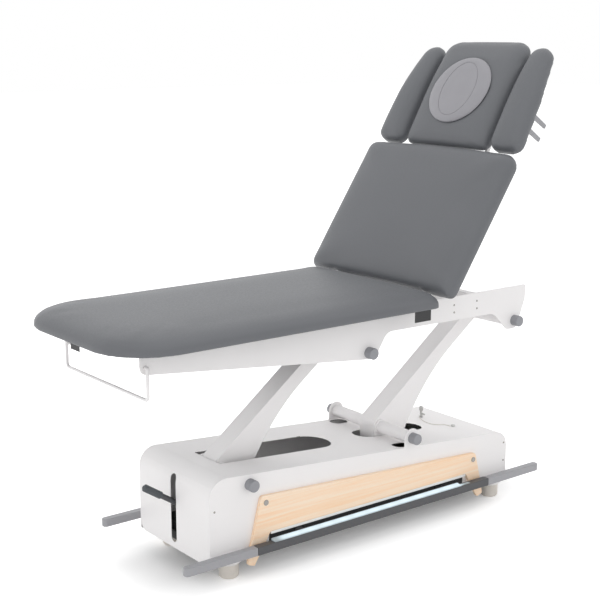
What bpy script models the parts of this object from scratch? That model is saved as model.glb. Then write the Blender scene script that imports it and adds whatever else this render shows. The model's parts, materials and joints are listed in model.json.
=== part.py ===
"""Electric physiotherapy table: a covered base on four feet, a parallelogram lift,
a welded top frame and a three-part upholstered top (seat, backrest, head section).

Metres, +Z up, +X towards the head end, floor at Z = 0. Side "near" is -Y, "far" is +Y.
"""

import math

import bmesh
import bpy
from mathutils import Matrix, Vector

# Fits
TOUCH = 0.0003             # gap between parts that are fastened face to face
RUNNING = 0.0006           # radial gap of a turning or sliding fit
SIDE_PLAY = 0.0005         # gap between plates that turn beside each other

# Upholstery
TABLE_WIDTH = 0.680
PAD_THICKNESS = 0.055      # cushion at its edge, board included
PAD_CROWN = 0.006          # how much a cushion rises in its middle
PAD_ROUND = 0.046          # height of a cushion's rounded edge
PAD_END_ROLL = 0.028       # how far the rounding reaches in where two cushions meet
PAD_TUCK = 0.005           # how far the cover is drawn in under the cushion
SEAT_LENGTH = 1.1625
SEAT_ROLL = 0.080          # how far the rounding reaches in at a free edge
SEAT_FOOT_CORNER = 0.180
SEAT_HEAD_CORNER = 0.024
BACK_LENGTH = 0.534
BACK_WIDTH = 0.714
BACK_THICKNESS = 0.062
BACK_ROLL = 0.045
BACK_END_ROLL = 0.036
BACK_LOW_CORNER = 0.028
BACK_TOP_CORNER = 0.045
BACK_BOW = 0.010           # how far the upper edge falls from its middle to its corners
BACK_BOW_RADIUS = 4.0
BACK_ANGLE = 56.0          # degrees above the seat, as photographed
HEAD_LENGTH = 0.408
HEAD_ROLL = 0.045
HEAD_WIDTH = 0.394
HEAD_LOW_CORNER = 0.020
HEAD_TOP_CORNER = 0.060
HEAD_ANGLE = 2.0           # degrees above the backrest
ARMREST_LENGTH = 0.399
ARMREST_ROLL = 0.030
ARMREST_LOW_WIDTH = 0.139
ARMREST_MID_WIDTH = 0.124
ARMREST_TOP_WIDTH = 0.090
ARMREST_GAP = 0.009        # between armrest and head cushion
ARMREST_DROP = 0.006       # how far an armrest starts below the head cushion
FACE_HOLE_LENGTH = 0.214
FACE_HOLE_WIDTH = 0.240
FACE_HOLE_FROM_END = 0.197 # head cushion's lower end to the hole's middle
PLUG_RIM = 0.014           # how far the plug's rim covers the cushion
PLUG_RISE = 0.013

# Base
BASE_LENGTH = 1.265
BASE_WIDTH = 0.400
BASE_CLEARANCE = 0.062     # floor to the covers' lower edge
COVER_HEIGHT = 0.288       # top of the cover at the base's middle
COVER_FALL = 0.0753        # fall of the cover towards the head end, per metre
FOOT_BEND = 0.056
HEAD_BEND = 0.054
COVER_SEAM = 0.064         # foot end to the seam between the two covers
LOWER_CORNER = 0.030       # lower corners of the end cover
SIDE_PLATE = 0.0034
SHEET = 0.0020
FOOT_RADIUS = 0.031
FOOT_FLANGE = 0.042        # radius of the mounting flange above a foot
FOOT_FROM_FOOT_END = 0.093
FOOT_FROM_HEAD_END = 0.040
PEDAL_SLOT_WIDTH = 0.030
PEDAL_SLOT_LOW = 0.081
PEDAL_SLOT_HIGH = 0.302

# Base frame: one flat welded frame with three windows
RAIL_HEIGHT = 0.030
RAIL_WIDTH = 0.060
CROSS_RAIL = 0.030
FRAME_INSET = 0.034        # end covers to the frame

# Lift: two equal arms between base and top frame
FOOT_PIVOT_X = -0.487
FOOT_PIVOT_DEPTH = 0.0307  # cover's top to the foot arm's pivot
PIVOT_SPACING = 0.6625
HEAD_PIVOT_RISE = 0.0314   # cover's top to the head arm's pivot
ARM_LENGTH = 0.563
ARM_ANGLE = 37.5           # degrees above level, as photographed
ARM_WIDTH = 0.076
ARM_ABOVE = 0.031          # pivot line to the arm's upper face
ARM_BELOW = 0.0185         # pivot line to the arm's lower edge
GUSSET_REACH = 0.400       # where the lower edge starts to widen
GUSSET_RATE = 0.71         # widening per metre squared
LOWER_TUBE = 0.021         # radius of the tubes across the lower pivots
UPPER_TUBE = 0.0245
COLLAR_RADIUS = 0.0255
COLLAR_WIDTH = 0.007
STUB_RADIUS = 0.011
EAR_RADIUS = 0.032
CAP_RADIUS = 0.0185
CAP_LENGTH = 0.028

# Openings in the cover
FOOT_OPENING_FROM = -0.507
FOOT_OPENING_TO = -0.029
FOOT_OPENING_HALF = 0.071
HEAD_OPENING_FROM = 0.098
HEAD_OPENING_TO = 0.390
HEAD_OPENING_HALF = 0.045
EAR_OPENING_LENGTH = 0.066
EAR_OPENING_WIDTH = 0.046

# Lift actuator, beside the arms
ACTUATOR_Y = 0.0595
CRANK_OFFSET = (0.030, -0.130)  # from the foot pivot to the crank's eye
CRANK_THICKNESS = 0.012
CRANK_HUB = 0.030
CRANK_EYE = 0.016
CRANK_BOLT = 0.0080
EYE_PLATE = 0.010          # thickness of the rod's flattened eye
ROD_RADIUS = 0.011
ROD_LENGTH = 0.340         # eye to the rod's inner end
ROD_START = 0.026          # eye to where the round rod begins
ROD_BORE_DEPTH = 0.180
ACTUATOR_RADIUS = 0.020
MOTOR_RADIUS = 0.034
MOTOR_LENGTH = 0.105
ACTUATOR_MOUTH = -0.200
ACTUATOR_NECK = 0.020      # motor housing to its bracket

# Wooden side panels
WOOD_THICKNESS = 0.0125
WOOD_FOOT_TOP = (-0.452, 0.250)
WOOD_HEAD_TOP = (0.464, 0.197)
WOOD_LEG_X = 0.503
WOOD_LEG_LOW = 0.034
WOOD_CUT_HALF = 0.419
WOOD_CUT_TOP = 0.130
WOOD_LEG_INNER = 0.447

# Foot bars
BAR_LENGTH = 1.498
BAR_MIDDLE = 0.986
BAR_SECTION = 0.0262
BAR_TOP = 0.109
BAR_REACH = 0.252          # table's middle to the bar's outer face
BAR_END_ROUND = 0.011
LIGHT_LENGTH = 0.820
LIGHT_WIDTH = 0.012
LIGHT_DEPTH = 0.003
BAR_LUG_X = 0.300
BAR_LUG_WIDTH = 0.028
BAR_LUG_HEIGHT = 0.010
BAR_PIVOT_Y = 0.178
BAR_BARREL = 0.0080
BAR_PIN = 0.0040

# Castor mechanism
CASTOR_SHAFT_FOOT_X = -0.430
CASTOR_SHAFT_HEAD_X = 0.450
CASTOR_SHAFT = 0.0080
CASTOR_ARM = 0.060
CASTOR_ARM_DROP = 38.7     # degrees below level with the wheels up
CASTOR_ARM_Y = 0.107
CASTOR_PLATE = 0.006
CASTOR_HUB = 0.015
CASTOR_TIP = 0.011
CASTOR_EYE = 0.010
CASTOR_BEARING = 0.012     # how far a shaft's end reaches into the rail
CASTOR_AXLE = 0.0050
WHEEL_RADIUS = 0.030
WHEEL_WIDTH = 0.025
WHEEL_Y = 0.085
CASTOR_CRANK = 0.045
CASTOR_CRANK_Y = -0.0565
CASTOR_PIN = 0.0050
PEDAL_ANGLE = 33.5         # degrees above level
PEDAL_LENGTH = 0.367
PEDAL_RADIUS = 0.0085
GRIP_LENGTH = 0.072
GRIP_RADIUS = 0.0115

# Top frame
BEAM_TOP = 0.769
BEAM_REACH = 0.224         # table's middle to a beam's outer face
BEAM_PLATE = 0.006
BEAM_FOOT_END = -0.868
BEAM_HEAD_END = 0.676
BEAM_FOOT_DEPTH = 0.069
BEAM_WAIST = 0.0775
BEAM_LUG = 0.0255
END_TUBE_X = -0.800
END_TUBE_RADIUS = 0.018
SEAT_TUBE_X = -0.330
SEAT_TUBE_RADIUS = 0.020
HEAD_CROSS_X = 0.455
HEAD_CROSS_WIDTH = 0.030
HEAD_CROSS_HEIGHT = 0.045
ROLL_ROD = 0.0052
ROLL_DROP = 0.093
ROLL_X = -0.852
ROLL_SCREW_DROP = 0.048    # beam's top to the screw that holds the rod
ROLL_REACH = 0.236

# Hinges of the top
BACK_HINGE_X = 0.180
HINGE_EAR = 0.0090
HINGE_PIN = 0.0045
PAD_HINGE_GAP = 0.0030     # backrest hinge to the cushions on either side
HEAD_HINGE_GAP = 0.0030    # head hinge to the cushions on either side
HINGE_LEG = 0.0125         # backrest hinge to the far side of the lug's leg
HINGE_NOTCH = 0.0018       # room left in the cushions around the hinge
HEAD_EAR = 0.0078          # the head hinge lies under the cushions
FRAME_BAR = 0.008          # flat bars under backrest and head section
BACK_LUG_Y = 0.2107
HEAD_EAR_Y = 0.184
HINGE_PLATE = 0.008

# Backrest strut
STRUT_Y = 0.102
STRUT_ANCHOR = (-0.295, 0.700)
STRUT_CRANK = (0.020, -0.120)   # in the backrest's own plane
STRUT_TUBE = 0.013
STRUT_ROD = 0.006
STRUT_TUBE_LENGTH = 0.330
STRUT_ROD_LENGTH = 0.300
STRUT_EYE = 0.013
STRUT_PLATE = 0.0115
STRUT_EYE_PLATE = 0.010
STRUT_BOLT = 0.0050

# Head frame and armrest brackets
HEAD_FRAME_WIDTH = 0.370
HEAD_FRAME_FROM = 0.024    # hinge to the frame's lower edge
HEAD_FRAME_TO = 0.382
HEAD_RAIL = 0.040          # width of the flat bars
HEAD_TOP_RAIL = 0.054
ARM_PIVOT_S = 0.345
ARM_PIVOT_ROD = 0.006
ARM_BRACKET_WIDTH = 0.024
ARM_BRACKET_PLATE = 0.005
ARM_BRACKET_Y = 0.262
ARM_BRACKET_FROM = 0.100
TAIL_PLACES = (0.125, 0.175)
TAIL_WIDTH = 0.020
TAIL_REACH = 0.150
TAIL_PLATE = 0.006

# Lock pin and its lanyard on the cover
LOCK_PLACE = (0.478, 0.078)
LOCK_HEIGHT = 0.042
LOCK_RADIUS = 0.0075
STUD_PLACE = (0.496, -0.068)
STUD_RADIUS = 0.0085
LANYARD_RADIUS = 0.0011

# Control box
CONTROL_BOX = (0.220, 0.105, 0.060)
CONTROL_BOX_X = 0.345

# Colours, as linear values of the photographed finishes
WHITE_PAINT = (0.80, 0.78, 0.76)
GREY_PLASTIC = (0.25, 0.26, 0.28)
DARK_GREY = (0.10, 0.105, 0.11)
PALE_GREY = (0.30, 0.30, 0.31)
VINYL_GREY = (0.16, 0.165, 0.18)
PLUG_GREY = (0.36, 0.36, 0.38)
BEECH = (0.80, 0.56, 0.36)
STEEL = (0.55, 0.55, 0.56)
LIGHT = (0.75, 0.93, 1.0)
BLACK = (0.02, 0.02, 0.022)

# Places worked out from the sizes above
FOOT_X = -BASE_LENGTH / 2
HEAD_X = BASE_LENGTH / 2
COVER_HALF = BASE_WIDTH / 2 - SIDE_PLATE - TOUCH
HEAD_PIVOT_X = FOOT_PIVOT_X + PIVOT_SPACING


def cover_top(x):
    """Height of the sloping cover's upper face at x."""
    return COVER_HEIGHT - COVER_FALL * x


FOOT_PIVOT = (FOOT_PIVOT_X, cover_top(FOOT_PIVOT_X) - FOOT_PIVOT_DEPTH)
HEAD_PIVOT = (HEAD_PIVOT_X, cover_top(HEAD_PIVOT_X) + HEAD_PIVOT_RISE)
ARM_VECTOR = (ARM_LENGTH * math.cos(math.radians(ARM_ANGLE)),
              ARM_LENGTH * math.sin(math.radians(ARM_ANGLE)))
FOOT_TOP_PIVOT = (FOOT_PIVOT[0] + ARM_VECTOR[0], FOOT_PIVOT[1] + ARM_VECTOR[1])
HEAD_TOP_PIVOT = (HEAD_PIVOT[0] + ARM_VECTOR[0], HEAD_PIVOT[1] + ARM_VECTOR[1])
RAIL_LOW = BASE_CLEARANCE + 0.0025
RAIL_TOP = RAIL_LOW + RAIL_HEIGHT
RAIL_OUTER = COVER_HALF - 0.006
RAIL_INNER = RAIL_OUTER - RAIL_WIDTH
CASTOR_SHAFT_Z = (RAIL_LOW + RAIL_TOP) / 2
BAR_PIVOT_Z = RAIL_TOP + BAR_BARREL + 0.0015
BAR_LUG_Z = BAR_PIVOT_Z - 0.001
ROLL_SCREW_Z = BEAM_TOP - ROLL_SCREW_DROP
SEAT_LOW = BEAM_TOP + TOUCH
BACK_HINGE_Z = SEAT_LOW + PAD_THICKNESS / 2
SEAT_HEAD_END = BACK_HINGE_X - PAD_HINGE_GAP
SEAT_FOOT_END = SEAT_HEAD_END - SEAT_LENGTH
PAD_LOW = -PAD_THICKNESS / 2
BAR_UPPER = PAD_LOW - TOUCH
BAR_LOWER = BAR_UPPER - FRAME_BAR
BACK_END = PAD_HINGE_GAP + BACK_LENGTH
HEAD_HINGE_S = BACK_END + HEAD_HINGE_GAP
HEAD_HINGE_T = BAR_LOWER
HEAD_PAD_LOW = PAD_LOW - HEAD_HINGE_T
REFERENCE_X = (SEAT_FOOT_END + BAR_LENGTH / 2) / 2
ARC_STEPS = 4


def clear_scene():
    for obj in list(bpy.data.objects):
        bpy.data.objects.remove(obj, do_unlink=True)


def make_collection(name):
    group = bpy.data.collections.new(name)
    bpy.context.scene.collection.children.link(group)
    return group


def make_material(name, colour, roughness, metallic=0.0):
    material = bpy.data.materials.new(name)
    material.use_nodes = True
    shader = material.node_tree.nodes["Principled BSDF"]
    shader.inputs["Base Color"].default_value = (*colour, 1.0)
    shader.inputs["Roughness"].default_value = roughness
    shader.inputs["Metallic"].default_value = metallic
    return material


def make_empty(name, parent, location, tilt=0.0):
    """A joint's frame: an empty at the pivot, tilted up by degrees about -Y."""
    empty = bpy.data.objects.new(name, None)
    empty.empty_display_size = 0.05
    empty.location = location
    empty.rotation_euler = (0.0, -math.radians(tilt), 0.0)
    empty.parent = parent
    parts.objects.link(empty)
    return empty


# Outlines: lists of (a, b) points, with arcs worked out at the corners

def circle(centre, radius, steps=16):
    turns = [2 * math.pi * i / steps for i in range(steps)]
    return [(centre[0] + radius * math.cos(t), centre[1] + radius * math.sin(t)) for t in turns]


def ellipse(centre, half_a, half_b, steps=32):
    turns = [2 * math.pi * i / steps for i in range(steps)]
    return [(centre[0] + half_a * math.cos(t), centre[1] + half_b * math.sin(t)) for t in turns]


def rounded(corners, steps=ARC_STEPS):
    """Closed outline from (a, b, radius) corners; a radius of 0 stays sharp."""
    points = []
    count = len(corners)
    for i, (a, b, radius) in enumerate(corners):
        here = Vector((a, b))
        if radius <= 0.0:
            points.append((a, b))
            continue
        back = (Vector(corners[i - 1][:2]) - here).normalized()
        ahead = (Vector(corners[(i + 1) % count][:2]) - here).normalized()
        half = back.angle(ahead) / 2
        middle = here + (back + ahead).normalized() * radius / math.sin(half)
        first = here + back * radius / math.tan(half) - middle
        sweep = first.angle_signed(here + ahead * radius / math.tan(half) - middle)
        for k in range(steps + 1):
            spot = middle + Matrix.Rotation(-sweep * k / steps, 2) @ first
            points.append((spot.x, spot.y))
    return points


def rectangle(a0, b0, a1, b1, radius=0.0):
    return rounded([(a0, b0, radius), (a1, b0, radius), (a1, b1, radius), (a0, b1, radius)])


def link_outline(first, radius, second, other_radius, steps=6):
    """Outline round two circles, as a forged link or lever has."""
    run = Vector(second) - Vector(first)
    heading = math.atan2(run.y, run.x)
    spread = math.acos((radius - other_radius) / run.length)
    points = []
    for k in range(steps + 1):
        turn = heading + spread + (2 * math.pi - 2 * spread) * k / steps
        points.append((first[0] + radius * math.cos(turn), first[1] + radius * math.sin(turn)))
    for k in range(steps + 1):
        turn = heading - spread + 2 * spread * k / steps
        points.append((second[0] + other_radius * math.cos(turn),
                       second[1] + other_radius * math.sin(turn)))
    return points


def inset(corners, depth, least=0.004):
    """Move every edge of a convex (a, b, radius) outline inwards by depth."""
    count = len(corners)
    lines = []
    for i in range(count):
        start = Vector(corners[i][:2])
        along = (Vector(corners[(i + 1) % count][:2]) - start).normalized()
        lines.append((start + Vector((-along.y, along.x)) * depth, along))
    moved = []
    for i, (_, _, radius) in enumerate(corners):
        (p, d), (q, e) = lines[i - 1], lines[i]
        reach = (q - p).cross(e) / d.cross(e)
        spot = p + d * reach
        moved.append((spot.x, spot.y, max(radius - depth, least)))
    return moved


# Solids

def add_object(name, mesh, parent, material, group=None):
    obj = bpy.data.objects.new(name, mesh)
    obj.parent = parent
    mesh.materials.clear()
    mesh.materials.append(material)
    (group or parts).objects.link(obj)
    return obj


def finish_mesh(bm, name):
    bmesh.ops.remove_doubles(bm, verts=bm.verts, dist=1e-6)
    bmesh.ops.recalc_face_normals(bm, faces=bm.faces)
    if bm.calc_volume(signed=True) < 0.0:
        bmesh.ops.reverse_faces(bm, faces=bm.faces)
    mesh = bpy.data.meshes.new(name)
    bm.to_mesh(mesh)
    bm.free()
    return mesh


def evaluated_mesh(obj):
    bpy.context.view_layer.update()
    graph = bpy.context.evaluated_depsgraph_get()
    return bpy.data.meshes.new_from_object(obj.evaluated_get(graph))


def plate_mesh(name, outlines, low, high, plane):
    """Flat outline with holes, extruded: plane "side" is XZ, "top" is XY, "end" is YZ."""
    curve = bpy.data.curves.new(name, "CURVE")
    curve.dimensions = "2D"
    curve.fill_mode = "BOTH"
    curve.extrude = (high - low) / 2
    for outline in outlines:
        spline = curve.splines.new("POLY")
        spline.points.add(len(outline) - 1)
        for point, (a, b) in zip(spline.points, outline):
            point.co = (a, b, 0.0, 1.0)
        spline.use_cyclic_u = True
    sketch = bpy.data.objects.new(name + "_sketch", curve)
    bpy.context.scene.collection.objects.link(sketch)
    bm = bmesh.new()
    flat = evaluated_mesh(sketch)
    bm.from_mesh(flat)
    bpy.data.objects.remove(sketch)
    bpy.data.curves.remove(curve)
    bpy.data.meshes.remove(flat)
    turn = {"side": Matrix(((1, 0, 0), (0, 0, -1), (0, 1, 0))),
            "top": Matrix.Identity(3),
            "end": Matrix(((0, 0, 1), (1, 0, 0), (0, 1, 0)))}[plane]
    shift = turn @ Vector((0, 0, 1)) * 0.0
    shift[{"side": 1, "top": 2, "end": 0}[plane]] = (low + high) / 2
    bmesh.ops.transform(bm, matrix=Matrix.Translation(shift) @ turn.to_4x4(), verts=bm.verts)
    return finish_mesh(bm, name)


def plate(name, outlines, low, high, plane, parent, material):
    return add_object(name, plate_mesh(name, outlines, low, high, plane), parent, material)


def box_mesh(name, low, high):
    bm = bmesh.new()
    bmesh.ops.create_cube(bm, size=1.0)
    size = Vector(high) - Vector(low)
    middle = (Vector(high) + Vector(low)) / 2
    bmesh.ops.transform(bm, matrix=Matrix.Translation(middle) @ Matrix.Diagonal((*size, 1)), verts=bm.verts)
    return finish_mesh(bm, name)


def rod_mesh(name, start, end, radius, steps=16):
    run = Vector(end) - Vector(start)
    bm = bmesh.new()
    bmesh.ops.create_cone(bm, cap_ends=True, segments=steps, radius1=radius, radius2=radius,
                          depth=run.length)
    turn = run.to_track_quat("Z", "Y").to_matrix().to_4x4()
    middle = (Vector(start) + Vector(end)) / 2
    bmesh.ops.transform(bm, matrix=Matrix.Translation(middle) @ turn, verts=bm.verts)
    return finish_mesh(bm, name)


def turned_mesh(name, profile, place, axis, steps=16):
    """Turn a (radius, height) profile, given top to bottom, about an axis through place."""
    mesh = bpy.data.meshes.new(name + "_profile")
    edges = [(i, i + 1) for i in range(len(profile) - 1)]
    mesh.from_pydata([(r, 0.0, h) for r, h in profile], edges, [])
    blank = bpy.data.objects.new(name + "_blank", mesh)
    bpy.context.scene.collection.objects.link(blank)
    screw = blank.modifiers.new("turn", "SCREW")
    screw.steps = steps
    screw.render_steps = steps
    screw.use_merge_vertices = True
    screw.merge_threshold = 0.00001
    bm = bmesh.new()
    spun = evaluated_mesh(blank)
    bm.from_mesh(spun)
    bpy.data.objects.remove(blank)
    bpy.data.meshes.remove(mesh)
    bpy.data.meshes.remove(spun)
    turn = Vector(axis).to_track_quat("Z", "Y").to_matrix().to_4x4()
    bmesh.ops.transform(bm, matrix=Matrix.Translation(place) @ turn, verts=bm.verts)
    return finish_mesh(bm, name)


def wire_mesh(name, points, radius, resolution=2):
    """A bent rod or cord along points."""
    curve = bpy.data.curves.new(name, "CURVE")
    curve.dimensions = "3D"
    curve.bevel_depth = radius
    curve.bevel_resolution = resolution
    curve.use_fill_caps = True
    spline = curve.splines.new("POLY")
    spline.points.add(len(points) - 1)
    for point, spot in zip(spline.points, points):
        point.co = (*spot, 1.0)
    sketch = bpy.data.objects.new(name + "_sketch", curve)
    bpy.context.scene.collection.objects.link(sketch)
    bm = bmesh.new()
    tube = evaluated_mesh(sketch)
    bm.from_mesh(tube)
    bpy.data.objects.remove(sketch)
    bpy.data.curves.remove(curve)
    bpy.data.meshes.remove(tube)
    return finish_mesh(bm, name)


def loft_mesh(name, rings):
    """Skin through rings of equally many points, closed by a face at each end."""
    bm = bmesh.new()
    loops = [[bm.verts.new(p) for p in ring] for ring in rings]
    for low, high in zip(loops, loops[1:]):
        count = len(low)
        for i in range(count):
            j = (i + 1) % count
            bm.faces.new((low[i], low[j], high[j], high[i]))
    bm.faces.new(loops[0][::-1])
    bm.faces.new(loops[-1])
    return finish_mesh(bm, name)


def change(obj, mesh, operation):
    """Join a tool's mesh to an object, or cut it away."""
    tool = add_object(obj.name + "_tool", mesh, obj.parent, obj.data.materials[0], cutters)
    tool.hide_render = True
    tool.display_type = "WIRE"
    boolean = obj.modifiers.new(operation, "BOOLEAN")
    boolean.object = tool
    boolean.operation = operation
    boolean.solver = "EXACT"
    result = evaluated_mesh(obj)
    obj.modifiers.clear()
    old = obj.data
    obj.data = result
    result.name = old.name
    bpy.data.objects.remove(tool)
    bpy.data.meshes.remove(old)
    bpy.data.meshes.remove(mesh)


def join(obj, *meshes):
    for mesh in meshes:
        change(obj, mesh, "UNION")


def cut(obj, *meshes):
    for mesh in meshes:
        change(obj, mesh, "DIFFERENCE")


def shade(obj, angle=40.0):
    obj.data.shade_smooth()
    obj.data.set_sharp_from_angle(angle=math.radians(angle))


def sides():
    """The two sides of the table, as (name, sign of y)."""
    return (("near", -1), ("far", 1))


def span(sign, first, second):
    """An interval in y, given from the middle outwards, on one side of the table."""
    return min(sign * first, sign * second), max(sign * first, sign * second)


# Base

def build_base_frame():
    low_x = FOOT_X + FRAME_INSET
    high_x = HEAD_X - FRAME_INSET
    clear = (high_x - low_x - 4 * CROSS_RAIL) / 3
    outlines = [rectangle(low_x, -RAIL_OUTER, high_x, RAIL_OUTER, 0.006)]
    for i in range(3):
        start = low_x + CROSS_RAIL + i * (clear + CROSS_RAIL)
        outlines.append(rectangle(start, -RAIL_INNER, start + clear, RAIL_INNER, 0.006))
    frame = plate("base_frame", outlines, RAIL_LOW, RAIL_TOP, "top", root, white)
    for x in (CASTOR_SHAFT_FOOT_X, CASTOR_SHAFT_HEAD_X):
        for _, sign in sides():
            cut(frame, rod_mesh("bearing", (x, sign * (RAIL_INNER - 0.004), CASTOR_SHAFT_Z),
                                (x, sign * (RAIL_INNER + CASTOR_BEARING + 0.002), CASTOR_SHAFT_Z),
                                CASTOR_SHAFT + RUNNING, 12))
    for _, sign in sides():
        for x in (-BAR_LUG_X, BAR_LUG_X):
            build_bar_ears(frame, x, sign)
    third = low_x + 2 * (CROSS_RAIL + clear)
    join(frame, box_mesh("bracket", (third + 0.010, ACTUATOR_Y - 0.014, RAIL_TOP - 0.002),
                         (third + CROSS_RAIL - 0.010, ACTUATOR_Y + 0.014, actuator_z() + 0.020)))
    return third + 0.010


def build_bar_ears(frame, x, sign):
    """Two ears with a pin between them, on which a foot bar's lug tips."""
    half = BAR_LUG_WIDTH / 2 + 0.0015
    low_y, high_y = span(sign, BAR_PIVOT_Y - 0.007, BAR_PIVOT_Y + 0.007)
    ears = [box_mesh("ear", (x + a, low_y, RAIL_TOP - 0.002), (x + b, high_y, BAR_PIVOT_Z + 0.008))
            for a, b in ((-half - 0.006, -half), (half, half + 0.006))]
    pin = rod_mesh("pin", (x - half - 0.003, sign * BAR_PIVOT_Y, BAR_PIVOT_Z),
                   (x + half + 0.003, sign * BAR_PIVOT_Y, BAR_PIVOT_Z), BAR_PIN, 12)
    join(frame, *ears, pin)


def base_outline():
    """Side view of the base with the ear that carries the head arm."""
    ear_low = HEAD_PIVOT[0] - EAR_RADIUS
    ear_high = HEAD_PIVOT[0] + EAR_RADIUS
    ear_top = HEAD_PIVOT[1] + EAR_RADIUS
    nearly = EAR_RADIUS * 0.998
    return rounded([(FOOT_X, BASE_CLEARANCE, 0.006), (HEAD_X, BASE_CLEARANCE, 0.006),
                    (HEAD_X, cover_top(HEAD_X), HEAD_BEND),
                    (ear_high, cover_top(ear_high), 0.006), (ear_high, ear_top, nearly),
                    (ear_low, ear_top, nearly), (ear_low, cover_top(ear_low), 0.003),
                    (FOOT_X, cover_top(FOOT_X), FOOT_BEND)], 6)


def build_side_plates():
    slot_half = BAR_LUG_WIDTH / 2 + 0.004
    slot_low = BAR_LUG_Z - BAR_LUG_HEIGHT / 2 - 0.008
    slot_high = BAR_LUG_Z + BAR_LUG_HEIGHT / 2 + 0.010
    outlines = [base_outline(), circle(FOOT_PIVOT, STUB_RADIUS + RUNNING),
                circle(HEAD_PIVOT, STUB_RADIUS + RUNNING)]
    for x in (-BAR_LUG_X, BAR_LUG_X):
        outlines.append(rectangle(x - slot_half, slot_low, x + slot_half, slot_high, 0.004))
    for name, sign in sides():
        low, high = span(sign, BASE_WIDTH / 2 - SIDE_PLATE, BASE_WIDTH / 2)
        plate("side_plate_" + name, outlines, low, high, "side", root, white)


def build_foot_cover():
    seam = FOOT_X + COVER_SEAM
    inner = FOOT_X + SHEET
    outline = rounded([(FOOT_X, BASE_CLEARANCE, 0), (inner, BASE_CLEARANCE, 0),
                       (inner, cover_top(inner) - SHEET, FOOT_BEND - SHEET),
                       (seam, cover_top(seam) - SHEET, 0), (seam, cover_top(seam), 0),
                       (FOOT_X, cover_top(FOOT_X), FOOT_BEND)], 8)
    cover = plate("foot_end_cover", [outline], -COVER_HALF, COVER_HALF, "side", root, white)
    half = PEDAL_SLOT_WIDTH / 2
    slot = rectangle(-half, PEDAL_SLOT_LOW, half, PEDAL_SLOT_HIGH, half * 0.998)
    cut(cover, plate_mesh("slot", [slot], FOOT_X - 0.01, FOOT_X + 0.02, "end"))
    for _, sign in sides():
        cut(cover, plate_mesh("corner", [corner_waste(sign)], FOOT_X - 0.01, FOOT_X + 0.02, "end"))
    shade(cover)


def corner_waste(sign):
    """What is cut away to round a lower corner of the end cover."""
    beyond = 0.010
    turns = [math.pi / 2 * k / 6 for k in range(7)]
    middle = (COVER_HALF - LOWER_CORNER, BASE_CLEARANCE + LOWER_CORNER)
    arc = [(middle[0] + LOWER_CORNER * math.cos(t), middle[1] - LOWER_CORNER * math.sin(t)) for t in turns]
    low = BASE_CLEARANCE - beyond
    points = arc + [(middle[0], low), (COVER_HALF + beyond, low), (COVER_HALF + beyond, middle[1])]
    return [(sign * a, b) for a, b in points]


def build_top_cover():
    seam = FOOT_X + COVER_SEAM + TOUCH
    inner = HEAD_X - SHEET
    outline = rounded([(seam, cover_top(seam) - SHEET, 0),
                       (inner, cover_top(inner) - SHEET, HEAD_BEND - SHEET), (inner, BASE_CLEARANCE, 0),
                       (HEAD_X, BASE_CLEARANCE, 0), (HEAD_X, cover_top(HEAD_X), HEAD_BEND),
                       (seam, cover_top(seam), 0)], 8)
    cover = plate("top_cover", [outline], -COVER_HALF, COVER_HALF, "side", root, white)
    round_end = FOOT_OPENING_HALF * 0.998
    foot_opening = rounded([(FOOT_OPENING_FROM, -FOOT_OPENING_HALF, 0.008),
                            (FOOT_OPENING_TO, -FOOT_OPENING_HALF, round_end),
                            (FOOT_OPENING_TO, FOOT_OPENING_HALF, round_end),
                            (FOOT_OPENING_FROM, FOOT_OPENING_HALF, 0.008)], 8)
    head_opening = rectangle(HEAD_OPENING_FROM, -HEAD_OPENING_HALF, HEAD_OPENING_TO, HEAD_OPENING_HALF,
                             HEAD_OPENING_HALF * 0.95)
    low, high = cover_top(HEAD_X) - 0.03, cover_top(FOOT_X) + 0.03
    for outline in (foot_opening, head_opening):
        cut(cover, plate_mesh("opening", [outline], low, high, "top"))
    for _, sign in sides():
        y0, y1 = span(sign, COVER_HALF - 0.010 - EAR_OPENING_WIDTH, COVER_HALF - 0.010)
        ear = rectangle(HEAD_PIVOT[0] - EAR_OPENING_LENGTH * 0.75, y0,
                        HEAD_PIVOT[0] + EAR_OPENING_LENGTH * 0.25, y1, 0.020)
        cut(cover, plate_mesh("opening", [ear], low, high, "top"))
    for place, radius in ((LOCK_PLACE, LOCK_RADIUS * 0.6 + RUNNING), (STUD_PLACE, STUD_RADIUS * 0.5)):
        cut(cover, plate_mesh("hole", [circle(place, radius, 16)], low, high, "top"))
    shade(cover)


def build_feet():
    for end, x in (("foot", FOOT_X + FOOT_FROM_FOOT_END), ("head", HEAD_X - FOOT_FROM_HEAD_END)):
        for name, sign in sides():
            top = RAIL_LOW - TOUCH
            under = BASE_CLEARANCE - TOUCH
            profile = [(0.0, top), (FOOT_RADIUS, top), (FOOT_RADIUS, under), (FOOT_FLANGE, under),
                       (FOOT_FLANGE, under - 0.008), (FOOT_RADIUS + 0.002, under - 0.016),
                       (FOOT_RADIUS, under - 0.018), (FOOT_RADIUS, 0.005), (FOOT_RADIUS - 0.004, 0.0),
                       (0.0, 0.0)]
            place = (x, sign * (RAIL_INNER + RAIL_WIDTH / 2), 0.0)
            foot = add_object(f"foot_{end}_{name}", turned_mesh("foot", profile, place, (0, 0, 1)),
                              root, cream)
            shade(foot)


def cap_mesh(pivot, sign, seat):
    """Plastic cap over a pivot's end; seat is the face that it sits on."""
    edge = 0.002
    profile = [(0.0, CAP_LENGTH), (CAP_RADIUS - edge, CAP_LENGTH), (CAP_RADIUS, CAP_LENGTH - edge),
               (CAP_RADIUS, 0.0), (0.0, 0.0)]
    return turned_mesh("cap", profile, (pivot[0], sign * (seat + TOUCH), pivot[1]), (0, sign, 0))


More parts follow.
